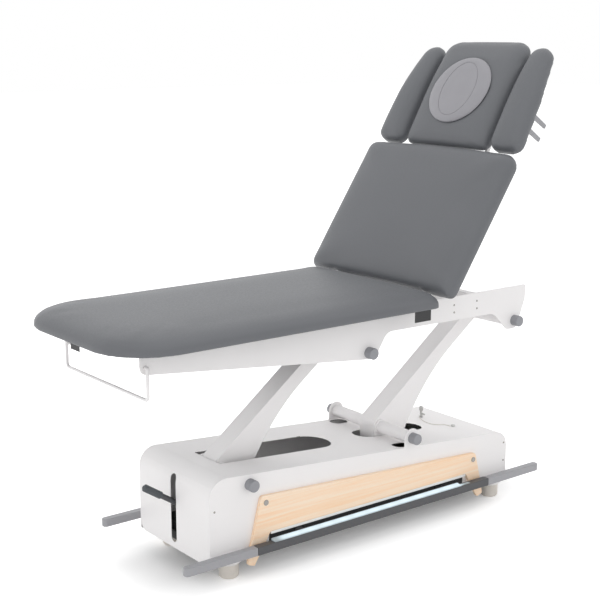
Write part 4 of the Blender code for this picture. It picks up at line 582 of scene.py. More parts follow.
def pad_blank(node, voxel, shrink):
    """A pad's even mesh, laid with its underside down, the turn that lays it, and its underside's height."""
    bm = merged(node)
    under = max(bm.faces, key=lambda face: face.calc_area()).normal
    lay = under.rotation_difference(Vector((0.0, 0.0, -1.0))).to_matrix()
    bmesh.ops.rotate(bm, matrix=lay, verts=bm.verts)
    pad = new_piece(node + "_upholstered", mesh_from(bm, node), finish("pvc_leathercloth_grey"))
    even = remeshed(pad, voxel)
    if node in HEAD_PADS:
        bow_pad(even, *(size * MM for size in HEAD_PADS[node]))
    if node in PAD_REACH:
        lengthen(even, *(size * MM for size in PAD_REACH[node]))
    if node in HEAD_PADS:
        even = remeshed(pad, voxel)
    low = min(vert.co.z for vert in even.vertices)
    held = pad.vertex_groups.new(name="stapled")
    held.add([v.index for v in even.vertices if v.co.z < low + PAD_FLAT], 1.0, "REPLACE")
    for vert in even.vertices:
        if vert.co.z >= low + PAD_FLAT:
            vert.co -= vert.normal * shrink
    return pad, lay, low


def add_cloth(pad):
    cloth = pad.modifiers.new("stretched cover", "CLOTH")
    for setting, value in COVER_CLOTH.items():
        setattr(cloth.settings, setting, value)
    cloth.settings.effector_weights.gravity = 0.0
    cloth.collision_settings.use_collision = False


def swell(pads, sizes):
    """Press the foam against the covers, and keep what each point moved within a limit."""
    for pad, _, _ in pads:
        add_cloth(pad)
    scene = bpy.context.scene
    for number in range(1, sizes.pad_frames + 1):
        scene.frame_set(number)
    for pad, _, _ in pads:
        swollen = evaluated_mesh(pad)
        for vert, moved in zip(pad.data.vertices, swollen.vertices):
            step = moved.co - vert.co
            if step.length > sizes.pad_swell:
                step *= sizes.pad_swell / step.length
            vert.co += step
        pad.modifiers.clear()
        bpy.data.meshes.remove(swollen)
    scene.frame_set(1)


def finish_pad(pad, lay, low, node):
    """Smooth a pad, give its underside the dust cover, and turn it back to its place."""
    bm = bmesh.new()
    bm.from_mesh(pad.data)
    free = [vert for vert in bm.verts if vert.co.z > low + PAD_FLAT]
    for _ in range(PAD_SMOOTHINGS):
        bmesh.ops.smooth_vert(bm, verts=free, factor=0.5, use_axis_x=True, use_axis_y=True, use_axis_z=True)
    for face in bm.faces:
        face.smooth = True
        face.material_index = int(face.normal.z < UNDERSIDE and face.calc_center_median().z < low + PAD_FLAT)
    bmesh.ops.rotate(bm, matrix=lay.transposed(), verts=bm.verts)
    bm.to_mesh(pad.data)
    bm.free()
    pad.data.materials.clear()
    for name in ("pvc_leathercloth_grey", "nonwoven_polypropylene_black"):
        pad.data.materials.append(finish(name))
    round_off = pad.modifiers.new("rounded", "SUBSURF")
    round_off.levels = round_off.render_levels = 1
    settle(pad, node)


# Fasteners, by Geometry Nodes

HEAD_SIDES, RIM_STEPS = 48, 4
HEAD_SOCKETS = (("Points", "Geometry"), ("Radius", "Float"), ("Height", "Float"), ("Rounding", "Float"),
                ("Material", "Material"))


def button_tree():
    """Round heads or caps with a rounded rim, one on each point, facing along the point's attribute."""
    tree = bpy.data.node_groups.new("round_heads", "GeometryNodeTree")
    for name, kind in HEAD_SOCKETS:
        tree.interface.new_socket(name, in_out="INPUT", socket_type="NodeSocket" + kind)
    tree.interface.new_socket("Heads", in_out="OUTPUT", socket_type="NodeSocketGeometry")
    given = add_node(tree, "NodeGroupInput").outputs
    wall = add_node(tree, "ShaderNodeMath", {"operation": "SUBTRACT"},
                    {0: given["Height"], 1: given["Rounding"]})
    body = add_node(tree, "GeometryNodeMeshCylinder", {"Vertices": HEAD_SIDES},
                    {"Radius": given["Radius"], "Depth": wall.outputs[0]})
    half = add_node(tree, "ShaderNodeMath", {"operation": "MULTIPLY", 1: 0.5}, {0: wall.outputs[0]})
    lift = add_node(tree, "ShaderNodeCombineXYZ", links={"Z": half.outputs[0]})
    raised = add_node(tree, "GeometryNodeTransform", links={"Geometry": body.outputs["Mesh"],
                                                            "Translation": lift.outputs[0]})
    shape, top = raised.outputs[0], body.outputs["Top"]
    radius = given["Radius"]
    for k in range(1, RIM_STEPS + 1):
        before, now = (math.pi / 2 * i / RIM_STEPS for i in (k - 1, k))
        step = math.sin(now) - math.sin(before)
        rise = add_node(tree, "ShaderNodeMath", {"operation": "MULTIPLY", 1: step}, {0: given["Rounding"]})
        grown = add_node(tree, "GeometryNodeExtrudeMesh", {"mode": "FACES", "Individual": False},
                         {"Mesh": shape, "Selection": top, "Offset Scale": rise.outputs[0]})
        drawn_in = add_node(tree, "ShaderNodeMath", {"operation": "MULTIPLY_ADD", 1: math.cos(now) - 1.0},
                            {0: given["Rounding"], 2: given["Radius"]})
        share = add_node(tree, "ShaderNodeMath", {"operation": "DIVIDE"}, {0: drawn_in.outputs[0], 1: radius})
        shrunk = add_node(tree, "GeometryNodeScaleElements", {"domain": "FACE"},
                          {"Geometry": grown.outputs["Mesh"], "Selection": grown.outputs["Top"],
                           "Scale": share.outputs[0]})
        shape, top, radius = shrunk.outputs[0], grown.outputs["Top"], drawn_in.outputs[0]
    facing = add_node(tree, "GeometryNodeInputNamedAttribute",
                      {"data_type": "FLOAT_VECTOR", "Name": "facing"})
    turn = add_node(tree, "FunctionNodeAlignRotationToVector", {"axis": "Z"}, {"Vector": facing.outputs[0]})
    heads = add_node(tree, "GeometryNodeInstanceOnPoints", links={
        "Points": given["Points"], "Instance": shape, "Rotation": turn.outputs[0]})
    real = add_node(tree, "GeometryNodeRealizeInstances", links={0: heads.outputs[0]})
    coated = add_node(tree, "GeometryNodeSetMaterial", links={"Geometry": real.outputs[0],
                                                              "Material": given["Material"]})
    add_node(tree, "NodeGroupOutput", links={0: coated.outputs[0]})
    return tree


def heads_piece(name, places, radius, height, rounding, material):
    """One mesh of round heads: places are (point, facing) pairs on one body."""
    tree = bpy.data.node_groups.get("round_heads") or button_tree()
    mesh = bpy.data.meshes.new(name)
    mesh.from_pydata([point for point, _ in places], [], [])
    facing = mesh.attributes.new("facing", "FLOAT_VECTOR", "POINT")
    for value, (_, way) in zip(facing.data, places):
        value.vector = way
    piece = bpy.data.objects.new(name, mesh)
    modifier = piece.modifiers.new("heads", "NODES")
    modifier.node_group = tree
    sockets = {item.name: item.identifier for item in tree.interface.items_tree if item.in_out == "INPUT"}
    values = {"Radius": radius, "Height": height, "Rounding": rounding, "Material": material}
    for key, value in values.items():
        modifier[sockets[key]] = value
    bpy.context.scene.collection.objects.link(piece)
    made = evaluated_mesh(piece)
    piece.modifiers.clear()
    piece.data = made
    smooth_shading(made, 50.0)
    return piece


# Operators

# What makes each finish, its name, its colour settings by name, and its own numbers
FINISHES = (
    (coated_steel, "powder_coated_steel_white", "white_coat", 4.0, 0.42),
    (coated_steel, "powder_coated_steel_dark", "dark_coat", 3.0, 0.44),
    (coated_steel, "powder_coated_steel_pale", "pale_coat", 3.0, 0.42),
    # Black coat that paints the shade inside the base and on its frame
    (coated_steel, "dip_coated_steel_black", "black", 3.0, 0.55),
    (leathercloth, "pvc_leathercloth_grey", "vinyl"),
    (nonwoven, "nonwoven_polypropylene_black", "dust_cover"),
    (moulded_plastic, "moulded_abs_grey", "cap", 0.46),
    (moulded_plastic, "moulded_abs_pale", "plug", 0.42),
    (moulded_plastic, "moulded_abs_black", "black", 0.5),
    (moulded_plastic, "moulded_polyamide_cream", "foot", 0.5),
    (rubber, "nitrile_rubber_grip", "grip"),
    (rubber, "castor_tread_rubber", "black"),
    (beech, "lacquered_beech_veneer", "beech_pale", "beech_dark"),
    (plated_steel, "zinc_plated_steel", "steel", 0.34),
    (plated_steel, "stainless_screw_steel", "screw", 0.40),
    (plated_steel, "anodised_aluminium_trim", "trim", 0.48),
    (painted_glow, "opal_acrylic_light", "light"),
    (braided_cord, "braided_polyester_cord", "cord"),
)


class TABLE_OT_finishes(bpy.types.Operator):
    """Make the table's materials"""
    bl_idname = "table.finishes"
    bl_label = "Finishes"

    def execute(self, context):
        colours = context.scene.table_colours
        for make, name, *rest in FINISHES:
            make(name, *(getattr(colours, item) if isinstance(item, str) else item for item in rest))
        return {"FINISHED"}


BASE_MIDDLE = sum(corner.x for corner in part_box("base_frame")) / 2

# The photograph's camera, fitted to the base's edges, the pivot caps and the beams
CAMERA_PLACE = (-2.43875, -3.115, 1.615)
CAMERA_TURN = (78.056, 0.0, -37.807)    # degrees about X, Y and Z
SENSOR = 36.0                           # millimetres
# Soft panels: the setting of their power, place, the point that they face, and size
PANELS = {"overhead_panel": ("key_power", (0.4, -0.6, 4.4), (0.1, 0.0, 0.4), 6.0),
          "camera_panel": ("fill_power", (-3.7, -3.3, 1.8), (0.1, 0.0, 0.4), 3.6),
          "foot_panel": ("foot_power", (-2.9, 0.4, 2.1), (-0.2, 0.0, 0.3), 1.2),
          "far_panel": ("far_power", (0.2, 2.6, 1.3), (0.1, 0.0, 0.35), 2.0)}
UNMIRRORED = ("far_panel",)             # would lie as a white sheen on the seat
FLOOR_DROP = 0.3 * MM
SHADOW_HALF = (0.66, 0.05, 0.0)         # half the floor round the base where the glow is weak, which paints shade there, from the base's middle
SHADOW_FADE = 0.32                      # from there to the full glow
WALL_FOOT, WALL_TOP = 0.45, 0.80        # sines of the angles over the floor where the walls fade out
WHITE = (1.0, 1.0, 1.0, 1.0)


class TABLE_OT_stage(bpy.types.Operator):
    """Make the camera, the pale floor and the soft studio light"""
    bl_idname = "table.stage"
    bl_label = "Stage"

    def execute(self, context):
        stage = context.scene.table_stage
        context.scene.view_settings.view_transform = "Standard"
        lens = bpy.data.cameras.new("photo_camera")
        lens.lens = stage.lens
        lens.sensor_width = SENSOR
        camera = bpy.data.objects.new("photo_camera", lens)
        camera.location = CAMERA_PLACE
        camera.rotation_euler = [math.radians(angle) for angle in CAMERA_TURN]
        context.scene.collection.objects.link(camera)
        context.scene.camera = camera
        self.add_floor(context, stage)
        self.add_surround(context, stage)
        for name, (setting, place, target, size) in PANELS.items():
            self.add_panel(context, name, place, target, size, getattr(stage, setting))
        return {"FINISHED"}

    def add_floor(self, context, stage):
        bm = bmesh.new()
        bmesh.ops.create_grid(bm, x_segments=1, y_segments=1, size=stage.floor_half)
        floor = bpy.data.objects.new("studio_floor", mesh_from(bm, "studio_floor"))
        floor.location.z = -FLOOR_DROP
        context.scene.collection.objects.link(floor)
        tree, shader, place = start_material("matt_studio_floor", stage.floor, 0.9, Specular_IOR_Level=0.0)
        # The glow is weak round the base: the lamps' shadow stays, and the weak glow paints more shade there
        for operation, value in (("SUBTRACT", (BASE_MIDDLE, 0.0, 0.0)), ("ABSOLUTE", (0.0, 0.0, 0.0)),
                                 ("SUBTRACT", SHADOW_HALF), ("MAXIMUM", (0.0, 0.0, 0.0))):
            place = add_node(tree, "ShaderNodeVectorMath", {"operation": operation, 1: value},
                             {0: place}).outputs[0]
        away = add_node(tree, "ShaderNodeVectorMath", {"operation": "LENGTH"}, {0: place})
        level = add_node(tree, "ShaderNodeMapRange", {
            "interpolation_type": "SMOOTHSTEP", "From Max": SHADOW_FADE, "To Min": stage.near_glow,
            "To Max": stage.far_glow}, {"Value": away.outputs["Value"]})
        glow = add_node(tree, "ShaderNodeMath", {"operation": "MULTIPLY"},
                        {0: level.outputs["Result"], 1: self.seen_rays(tree)})
        shader.inputs["Emission Color"].default_value = WHITE
        tree.links.new(glow.outputs[0], shader.inputs["Emission Strength"])
        floor.data.materials.append(finish("matt_studio_floor"))

    def add_surround(self, context, stage):
        """Pale walls, brighter than the ceiling, so that light reaches in under the seat from all sides."""
        world = bpy.data.worlds.new("studio_surround")
        world.use_nodes = True
        context.scene.world = world
        tree = world.node_tree
        way = add_node(tree, "ShaderNodeTexCoord")
        climb = add_node(tree, "ShaderNodeSeparateXYZ", links={0: way.outputs["Generated"]})
        light = add_node(tree, "ShaderNodeMapRange", {
            "interpolation_type": "SMOOTHSTEP", "From Min": WALL_FOOT, "From Max": WALL_TOP,
            "To Min": stage.horizon, "To Max": stage.sky}, {"Value": climb.outputs["Z"]})
        strength = add_node(tree, "ShaderNodeMapRange", {"To Max": 1.0},
                            {"Value": self.seen_rays(tree), "To Min": light.outputs["Result"]})
        background = tree.nodes["Background"]
        background.inputs["Color"].default_value = WHITE
        tree.links.new(strength.outputs[0], background.inputs["Strength"])

    def seen_rays(self, tree):
        """1 for rays that show the backdrop itself: seen directly, mirrored or through something clear."""
        path = add_node(tree, "ShaderNodeLightPath").outputs
        seen = path["Is Camera Ray"]
        for ray in ("Is Glossy Ray", "Is Transmission Ray"):
            seen = add_node(tree, "ShaderNodeMath", {"operation": "MAXIMUM"},
                            {0: seen, 1: path[ray]}).outputs[0]
        return seen

    def add_panel(self, context, name, place, target, size, power):
        lamp = bpy.data.lights.new(name, "AREA")
        lamp.shape = "SQUARE"
        lamp.size = size
        lamp.energy = power
        panel = bpy.data.objects.new(name, lamp)
        panel.location = place
        panel.rotation_euler = (Vector(target) - Vector(place)).to_track_quat("-Z", "Y").to_euler()
        panel.visible_camera = False
        panel.visible_glossy = name not in UNMIRRORED
        context.scene.collection.objects.link(panel)


# The lanyard's way over the cover, from the lock pin's collar round to its stud, as in the part's source
LANYARD_RADIUS = 1.1 * MM
LANYARD_ROUTE = ((0.58645, 0.0760), (0.57425, 0.0560), (0.56225, 0.0260), (0.55825, -0.0020),
                 (0.56525, -0.0220), (0.58225, -0.0350), (0.59825, -0.0410), (0.60345, -0.0660))
LANYARD_STEPS = 4
LANYARD_GAP = 0.3 * MM   # between cord and cover
COVER_HEIGHT = 0.288     # top of the cover at the base's middle
COVER_FALL = 0.0753      # fall of the cover per metre towards the head end


def cover_top(x):
    return COVER_HEIGHT - COVER_FALL * (x - BASE_MIDDLE)


def lanyard_path():
    """Catmull-Rom curve through the route, lying on the sloping cover."""
    padded = [LANYARD_ROUTE[0], *LANYARD_ROUTE, LANYARD_ROUTE[-1]]
    flat = []
    for i in range(1, len(padded) - 2):
        p0, p1, p2, p3 = (Vector(p) for p in padded[i - 1:i + 3])
        for k in range(LANYARD_STEPS):
            t = k / LANYARD_STEPS
            flat.append(0.5 * (2 * p1 + (p2 - p0) * t + (2 * p0 - 5 * p1 + 4 * p2 - p3) * t ** 2
                               + (3 * p1 - p0 - 3 * p2 + p3) * t ** 3))
    flat.append(Vector(LANYARD_ROUTE[-1]))
    return [Vector((p.x, p.y, cover_top(p.x) + LANYARD_RADIUS + LANYARD_GAP)) for p in flat]


class TABLE_OT_lanyard(bpy.types.Operator):
    """Lay the lock pin's lanyard on the cover"""
    bl_idname = "table.lanyard"
    bl_label = "Lanyard"

    def execute(self, context):
        path = lanyard_path()
        curve = bpy.data.curves.new("lock_lanyard_cord", "CURVE")
        curve.dimensions = "3D"
        curve.bevel_depth = LANYARD_RADIUS
        curve.bevel_resolution = 3
        curve.use_fill_caps = True
        spline = curve.splines.new("POLY")
        spline.points.add(len(path) - 1)
        for point, spot in zip(spline.points, path):
            point.co = (*spot, 1.0)
        curve.materials.append(finish("braided_polyester_cord"))
        cord = bpy.data.objects.new("lock_lanyard_cord", curve)
        context.scene.collection.objects.link(cord)
        settle(cord, "lock_lanyard")
        return {"FINISHED"}


class TABLE_OT_upholstery(bpy.types.Operator):
    """Upholster seat, backrest, head section and armrests"""
    bl_idname = "table.upholstery"
    bl_label = "Upholstery"

    def execute(self, context):
        sizes = context.scene.table_sizes
        pads = [pad_blank(node, voxel, sizes.pad_shrink) for node, voxel in PADS.items()]
        swell(pads, sizes)
        for node, (pad, lay, low) in zip(PADS, pads):
            finish_pad(pad, lay, low, node)
        return {"FINISHED"}


INSIDE_HEIGHT = 0.150    # a point in the middle of the base's hollow
FACING_INSIDE = 0.3      # cosine towards that point past which a face counts as inside
FLANGE_SHARE = 0.66      # of a foot's height: its flange starts there


class TABLE_OT_coated_frame(bpy.types.Operator):
    """Ease the edges of base, lift arms, beams and flat frames"""
    bl_idname = "table.coated_frame"
    bl_label = "Coated Frame"

    def execute(self, context):
        sizes = context.scene.table_sizes
        for node in ("side_plate_near", "side_plate_far"):
            eased(node, sizes.edge)
        for node in ("foot_end_cover", "top_cover"):
            self.paint_inside_shade(eased(node, sizes.edge))
        for node in ("side_beam_near", "side_beam_far", "head_cross_tube", "back_frame", "head_frame",
                     "end_cross_tube", "seat_cross_tube"):
            eased(node, sizes.beam_edge)
        # The armrest brackets take the pale grey coat as painted shade, for the seat's shade over them
        for node, coat in (("armrest_bracket_near", "powder_coated_steel_pale"),
                           ("armrest_bracket_far", "powder_coated_steel_pale"),
                           # The base frame is black as painted shade, for the dark seen through the pedal
                           # slot
                           ("base_frame", "dip_coated_steel_black")):
            eased(node, sizes.beam_edge).data.materials[0] = finish(coat)
        for node in ("foot_arm", "head_arm"):
            eased(node, sizes.arm_edge, segments=3)
        for end in ENDS:
            for side, _ in SIDES:
                self.coat_flange(eased(f"foot_{end}_{side}", sizes.beam_edge))
        return {"FINISHED"}

    def paint_inside_shade(self, sheet):
        """Painted shade: the base's sheets are black on their inner faces, for the shade inside the base."""
        sheet.data.materials.append(finish("dip_coated_steel_black"))
        inside = Vector((BASE_MIDDLE, 0.0, INSIDE_HEIGHT))
        for face in sheet.data.polygons:
            if face.normal.dot((inside - face.center).normalized()) > FACING_INSIDE:
                face.material_index = 1

    def coat_flange(self, foot):
        """The flange over a foot is coated like the base; the foot itself is plastic."""
        foot.data.materials.append(finish("powder_coated_steel_white"))
        low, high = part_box("foot_foot_near")
        for face in foot.data.polygons:
            if face.center.z > low.z + (high.z - low.z) * FLANGE_SHARE:
                face.material_index = 1


# The panel's cut above the foot bar, and the room for the bar's lugs, from the base's middle
CUT_HALF = 0.419
CUT_TOP = 0.1298
CUT_LOW = 0.074
LUG_PLACE = 0.300
LUG_ROOM = 0.0146
LUG_TOP = 0.1138
# Trim and the black sheet of painted shade in the cut: room at their ends, gap behind them, the black sheet's
# thickness, and their eased edge
TRIM_ROOM, SHADE_SHEET_ROOM = 2.0 * MM, 4.0 * MM
SHEET_GAP = 0.3 * MM
SHADE_SHEET = 1.2 * MM
SHEET_EDGE = 0.3 * MM
# The trim's ribs from its top: where each starts and how high it is, as shares of the trim's height, and the
# millimetres that it stands out from the panel
TRIM_RIBS = ((0.0, 0.4, 0.8), (0.4, 0.2, -0.6), (0.6, 0.4, 0.8))


class TABLE_OT_wood_panels(bpy.types.Operator):
    """Finish the wooden side panels, with the bright trim and a black sheet in their cut that paints the
    recess's shade
    """
    bl_idname = "table.wood_panels"
    bl_label = "Wooden Panels"

    def execute(self, context):
        sizes = context.scene.table_sizes
        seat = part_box("side_plate_far")[1].y + SHEET_GAP
        for side, sign in SIDES:
            eased("wood_panel_" + side, sizes.wood_edge)
            self.add_trim(side, sign, seat, sizes.trim_height)
            self.add_shade_sheet(side, sign, seat, sizes.trim_height)
        return {"FINISHED"}

    def add_trim(self, side, sign, seat, trim_height):
        """A ribbed aluminium profile under the panel's cut."""
        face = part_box("wood_panel_far")[1].y
        half = CUT_HALF - TRIM_ROOM
        ribs = []
        for start, height, proud in TRIM_RIBS:
            top = CUT_TOP - start * trim_height
            ribs.append((rectangle(BASE_MIDDLE - half, top - height * trim_height, BASE_MIDDLE + half, top),
                         *outward(sign, seat, face + proud * MM)))
        trim = sheet_piece("panel_trim_" + side, ribs, "anodised_aluminium_trim", SHEET_EDGE)
        attach(trim, "base")

    def add_shade_sheet(self, side, sign, seat, trim_height):
        """A black sheet of painted shade in the recess behind the foot bar, cut out around the bar's two
        lugs.
        """
        half = CUT_HALF - SHADE_SHEET_ROOM
        outline = [(-half, CUT_LOW)]
        for middle in (-LUG_PLACE, LUG_PLACE):
            x0, x1 = middle - LUG_ROOM, middle + LUG_ROOM
            outline += [(x0, CUT_LOW), (x0, LUG_TOP), (x1, LUG_TOP), (x1, CUT_LOW)]
        outline += [(half, CUT_LOW), (half, CUT_TOP - trim_height), (-half, CUT_TOP - trim_height)]
        outline = [(BASE_MIDDLE + x, z) for x, z in outline]
        shade_sheet = sheet_piece("recess_lining_" + side, [(outline, *outward(sign, seat, seat + SHADE_SHEET))],
                             "moulded_abs_black", SHEET_EDGE)
        attach(shade_sheet, "base")


# The lens over the light strip: its height at the front, and where its ends stand from the strip's
LENS_FRONT = 1.2 * MM
LENS_AHEAD = 18.0 * MM
LENS_SHORT = 46.0 * MM
LENS_SUNK = 0.2 * MM     # its foot, in the strip
LENS_EDGE = 0.4 * MM


class TABLE_OT_foot_bars(bpy.types.Operator):
    """Finish the foot bars, their ends and the painted glow on their tops"""
    bl_idname = "table.foot_bars"
    bl_label = "Foot Bars"

    def execute(self, context):
        sizes = context.scene.table_sizes
        for side, sign in SIDES:
            eased("foot_bar_" + side, sizes.bar_edge, segments=3)
            for end in ENDS:
                eased(f"bar_end_{end}_{side}", sizes.tip_edge, segments=4)
            self.add_light("light_strip_" + side, sign, sizes)
        return {"FINISHED"}

    def add_light(self, node, sign, sizes):
        """An opal cover with a painted glow: a strip in the bar's groove, under a lens that slopes up towards
        the base.
        """
        low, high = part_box(node)
        middle, half = abs(low.y + high.y) / 2, sizes.lens_width / 2
        slope = [(middle + half, high.z - LENS_SUNK), (middle + half, high.z + LENS_FRONT),
                 (middle - half, high.z + sizes.lens_height), (middle - half, high.z - LENS_SUNK)]
        strip = (rectangle(low.x, low.z, high.x, high.z), low.y, high.y)
        lens = ([(sign * y, z) for y, z in slope], low.x - LENS_AHEAD, high.x - LENS_SHORT, "x")
        settle(sheet_piece(node + "_finished", [strip, lens], "opal_acrylic_light", LENS_EDGE), node)


class TABLE_OT_pivot_caps(bpy.types.Operator):
    """Turn the caps over the lift's eight pivots"""
    bl_idname = "table.pivot_caps"
    bl_label = "Pivot Caps"

    def execute(self, context):
        sizes = context.scene.table_sizes
        for level in ("base", "top"):
            caps = [f"pivot_cap_{level}_{end}_{side}" for end in ENDS for side, _ in SIDES]
            places = [self.seat(cap) for cap in caps]
            low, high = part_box(caps[0])
            piece = heads_piece(f"pivot_caps_{level}", places, (high.x - low.x) / 2, high.y - low.y,
                                sizes.cap_rounding, finish("moulded_abs_grey"))
            settle(piece, *caps)
        return {"FINISHED"}

    def seat(self, cap):
        """Where a cap sits and which way it faces."""
        low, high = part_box(cap)
        middle = (low + high) / 2
        way = 1.0 if middle.y > 0.0 else -1.0
        inner = low.y if way > 0.0 else high.y
        return (middle.x, inner, middle.z), (0.0, way, 0.0)


# Screws as (x from the base's middle, z), on both sides
PANEL_SCREWS = ((-0.435, 0.227), (0.454, 0.175))
PLATE_SCREWS = ((-0.615, 0.235), (-0.615, 0.085), (0.618, 0.200), (0.618, 0.135))
BEAM_SCREWS = ((-0.854, 0.721), (0.331, 0.740), (0.332, 0.715), (0.437, 0.741), (0.438, 0.715))
PANEL_HEAD, PLATE_HEAD, BEAM_HEAD = 2.4 * MM, 1.6 * MM, 1.4 * MM
SCREW_SUNK = 0.2 * MM
SCREW_ROUNDING = 0.7     # share of a head's height


class TABLE_OT_screws(bpy.types.Operator):
    """Set the screws of panels and side plates"""
    bl_idname = "table.screws"
    bl_label = "Screws"

    def execute(self, context):
        sizes = context.scene.table_sizes
        steel = finish("stainless_screw_steel")
        rows = (("panel_screws", "base", PANEL_SCREWS, "wood_panel_far", sizes.panel_screw, PANEL_HEAD),
                ("plate_screws", "base", PLATE_SCREWS, "side_plate_far", sizes.plate_screw, PLATE_HEAD),
                ("beam_screws", "top_frame", BEAM_SCREWS, "side_beam_far", sizes.plate_screw, BEAM_HEAD))
        for name, body, spots, sheet, radius, height in rows:
            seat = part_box(sheet)[1].y - SCREW_SUNK
            places = [((BASE_MIDDLE + x, sign * seat, z), (0.0, sign, 0.0))
                      for x, z in spots for _, sign in SIDES]
            heads = heads_piece(name, places, radius, height, height * SCREW_ROUNDING, steel)
            attach(heads, body)
        return {"FINISHED"}


class TABLE_OT_mechanism(bpy.types.Operator):
    """Finish the pedal, the castors, the actuator, the strut and the lock"""
    bl_idname = "table.mechanism"
    bl_label = "Mechanism"

    def execute(self, context):
        sizes = context.scene.table_sizes
        for node in ("pedal_lever", "pedal_grip", "castor_shaft_foot", "castor_shaft_head", "castor_link",
                     "lift_rod", "lift_actuator", "strut_tube", "strut_rod", "control_box", "lock_pin",
                     "lanyard_stud", "castor_wheels_foot", "castor_wheels_head", "roll_holder"):
            eased(node, sizes.edge)
        return {"FINISHED"}


# Face-hole plug: half length along the head section, and half width, of its stem, rim and lid
PLUG_STEM = (104.0 * MM, 117.0 * MM)
PLUG_RIM = (126.0 * MM, 132.0 * MM)
PLUG_LID = (103.0 * MM, 75.0 * MM)
PLUG_SHIFT = 4.0 * MM    # rim and lid stand this much nearer the backrest than the stem
PLUG_RISE = 13.0 * MM    # from the rim's underside to the lid
PLUG_DEPTH = 45.0 * MM   # of the stem
STEM_CHAMFER = (2.0 * MM, 5.0 * MM)    # at its foot: inwards and along
RIM_CHAMFER = 3.0 * MM
# The groove round the lid: millimetres inside the lid's edge, and height
PLUG_GROOVE = ((-0.6, -1.4), (0.6, -1.4), (1.1, -0.2), (4.0, 0.0))
GROOVE_ROOM = 1.0 * MM   # from the rim's inner edge to the lid
PLUG_STEPS, PLUG_SIDES = 8, 96


def plug_levels():
    """Rings of the plug as (half length, half width, height over the lid)."""
    inwards, along = STEM_CHAMFER
    levels = [(*(half - inwards for half in PLUG_STEM), -PLUG_RISE - PLUG_DEPTH),
              (*PLUG_STEM, -PLUG_RISE - PLUG_DEPTH + along), (*PLUG_STEM, -PLUG_RISE),
              (*(half - RIM_CHAMFER for half in PLUG_RIM), -PLUG_RISE)]
    for k in range(PLUG_STEPS + 1):
        t = math.pi / 2 * k / PLUG_STEPS
        rim = [r - (r - lid - GROOVE_ROOM) * (1 - math.cos(t)) for r, lid in zip(PLUG_RIM, PLUG_LID)]
        levels.append((*rim, (PLUG_RISE - RIM_CHAMFER) * (math.sin(t) - 1.0)))
    for drawn_in, height in PLUG_GROOVE:
        levels.append((*(lid - drawn_in * MM for lid in PLUG_LID), height * MM))
    return levels


class TABLE_OT_face_plug(bpy.types.Operator):
    """Turn the oval plug of the face hole, with the fine groove round its lid"""
    bl_idname = "table.face_plug"
    bl_label = "Face Plug"

    def execute(self, context):
        source = merged("face_plug")
        lid = max((face for face in source.faces if face.normal.z > 0.0), key=lambda face: face.calc_area())
        out, middle = lid.normal.copy(), lid.calc_center_median()
        source.free()
        across = Vector((0.0, 1.0, 0.0))
        along = across.cross(out)
        turns = [math.tau * k / PLUG_SIDES for k in range(PLUG_SIDES)]
        bm = bmesh.new()
        rings = []
        for half_length, half_width, height in plug_levels():
            centre = middle - along * (PLUG_SHIFT if height > -PLUG_RISE else 0.0)
            rings.append([bm.verts.new(centre + along * half_length * math.cos(t)
                                       + across * half_width * math.sin(t) + out * height) for t in turns])
        for lower, upper in zip(rings, rings[1:]):
            for i in range(PLUG_SIDES):
                bm.faces.new((lower[i - 1], lower[i], upper[i], upper[i - 1]))
        bm.faces.new(rings[0][::-1])
        bm.faces.new(rings[-1])
        bmesh.ops.recalc_face_normals(bm, faces=bm.faces)
        mesh = mesh_from(bm, "face_plug")
        smooth_shading(mesh, 40.0)
        settle(new_piece("face_plug_finished", mesh, finish("moulded_abs_pale")), "face_plug")
        return {"FINISHED"}


# Bare tags under the seat's edge: the first along its near side, the second across its foot end
TAG_SHEET = 1.4 * MM
TAG_SEWN = 3.0 * MM      # hidden in the seat's seam
TAG_EDGE = 0.4 * MM
SIDE_TAG_X = (0.176, 0.244)
SIDE_TAG_Y = -0.3286
SIDE_TAG_DROP = 33.0 * MM
END_TAG_Y = (-0.082, -0.030)
END_TAG_INSET = 10.0 * MM
END_TAG_DROP = 14.0 * MM


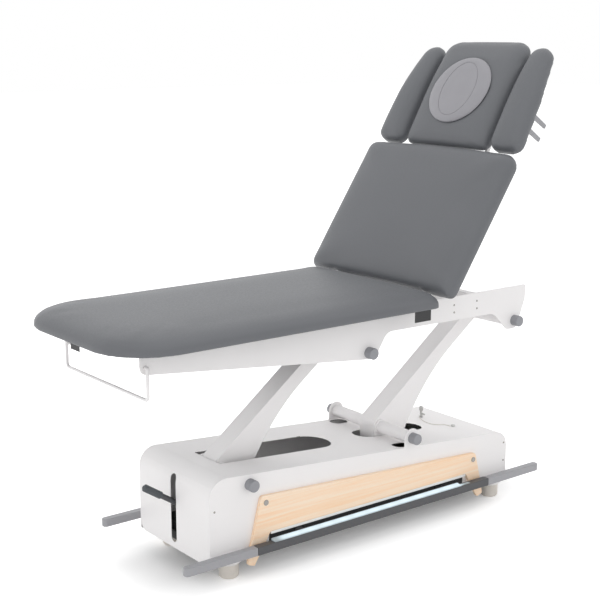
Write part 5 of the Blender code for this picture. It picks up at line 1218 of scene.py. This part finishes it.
class TABLE_OT_tags(bpy.types.Operator):
    """Sew the two bare tags under the seat's edge"""
    bl_idname = "table.tags"
    bl_label = "Tags"

    def execute(self, context):
        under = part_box("seat_cushion")[0]
        front, sewn = under.x + END_TAG_INSET, under.z + TAG_SEWN
        side = rectangle(SIDE_TAG_X[0], under.z - SIDE_TAG_DROP, SIDE_TAG_X[1], sewn)
        end = rectangle(front, under.z - END_TAG_DROP, front + TAG_SHEET, sewn)
        for name, prism in (("side_tag", (side, SIDE_TAG_Y, SIDE_TAG_Y + TAG_SHEET)),
                            ("end_tag", (end, *END_TAG_Y))):
            tag = sheet_piece(name, [prism], "moulded_abs_black", TAG_EDGE)
            attach(tag, "top_frame")
        return {"FINISHED"}


class TABLE_PT_looks(bpy.types.Panel):
    """Settings and steps of the table's looks"""
    bl_idname = "TABLE_PT_looks"
    bl_label = "Physiotherapy Table"
    bl_space_type = "VIEW_3D"
    bl_region_type = "UI"
    bl_category = "Table"

    def draw(self, context):
        for group in (context.scene.table_colours, context.scene.table_sizes, context.scene.table_stage):
            box = self.layout.box()
            for name in group.__annotations__:
                box.prop(group, name)
        for operator in OPERATORS:
            self.layout.operator(operator.bl_idname)


# The stage and the cord come first, so that a cord out of view shows at once
OPERATORS = (TABLE_OT_finishes, TABLE_OT_stage, TABLE_OT_lanyard, TABLE_OT_upholstery,
             TABLE_OT_coated_frame, TABLE_OT_wood_panels, TABLE_OT_foot_bars, TABLE_OT_pivot_caps,
             TABLE_OT_screws, TABLE_OT_mechanism, TABLE_OT_face_plug, TABLE_OT_tags)
GROUPS = {"table_colours": TableColours, "table_sizes": TableSizes, "table_stage": TableStage}


def register():
    for cls in (*GROUPS.values(), *OPERATORS, TABLE_PT_looks):
        bpy.utils.register_class(cls)
    for name, group in GROUPS.items():
        setattr(bpy.types.Scene, name, PointerProperty(type=group))


def unregister():
    for name in GROUPS:
        delattr(bpy.types.Scene, name)
    for cls in reversed((*GROUPS.values(), *OPERATORS, TABLE_PT_looks)):
        bpy.utils.unregister_class(cls)


def main():
    register()
    for operator in OPERATORS:
        group, name = operator.bl_idname.split(".")
        getattr(getattr(bpy.ops, group), name)()


if __name__ == "__main__":
    main()
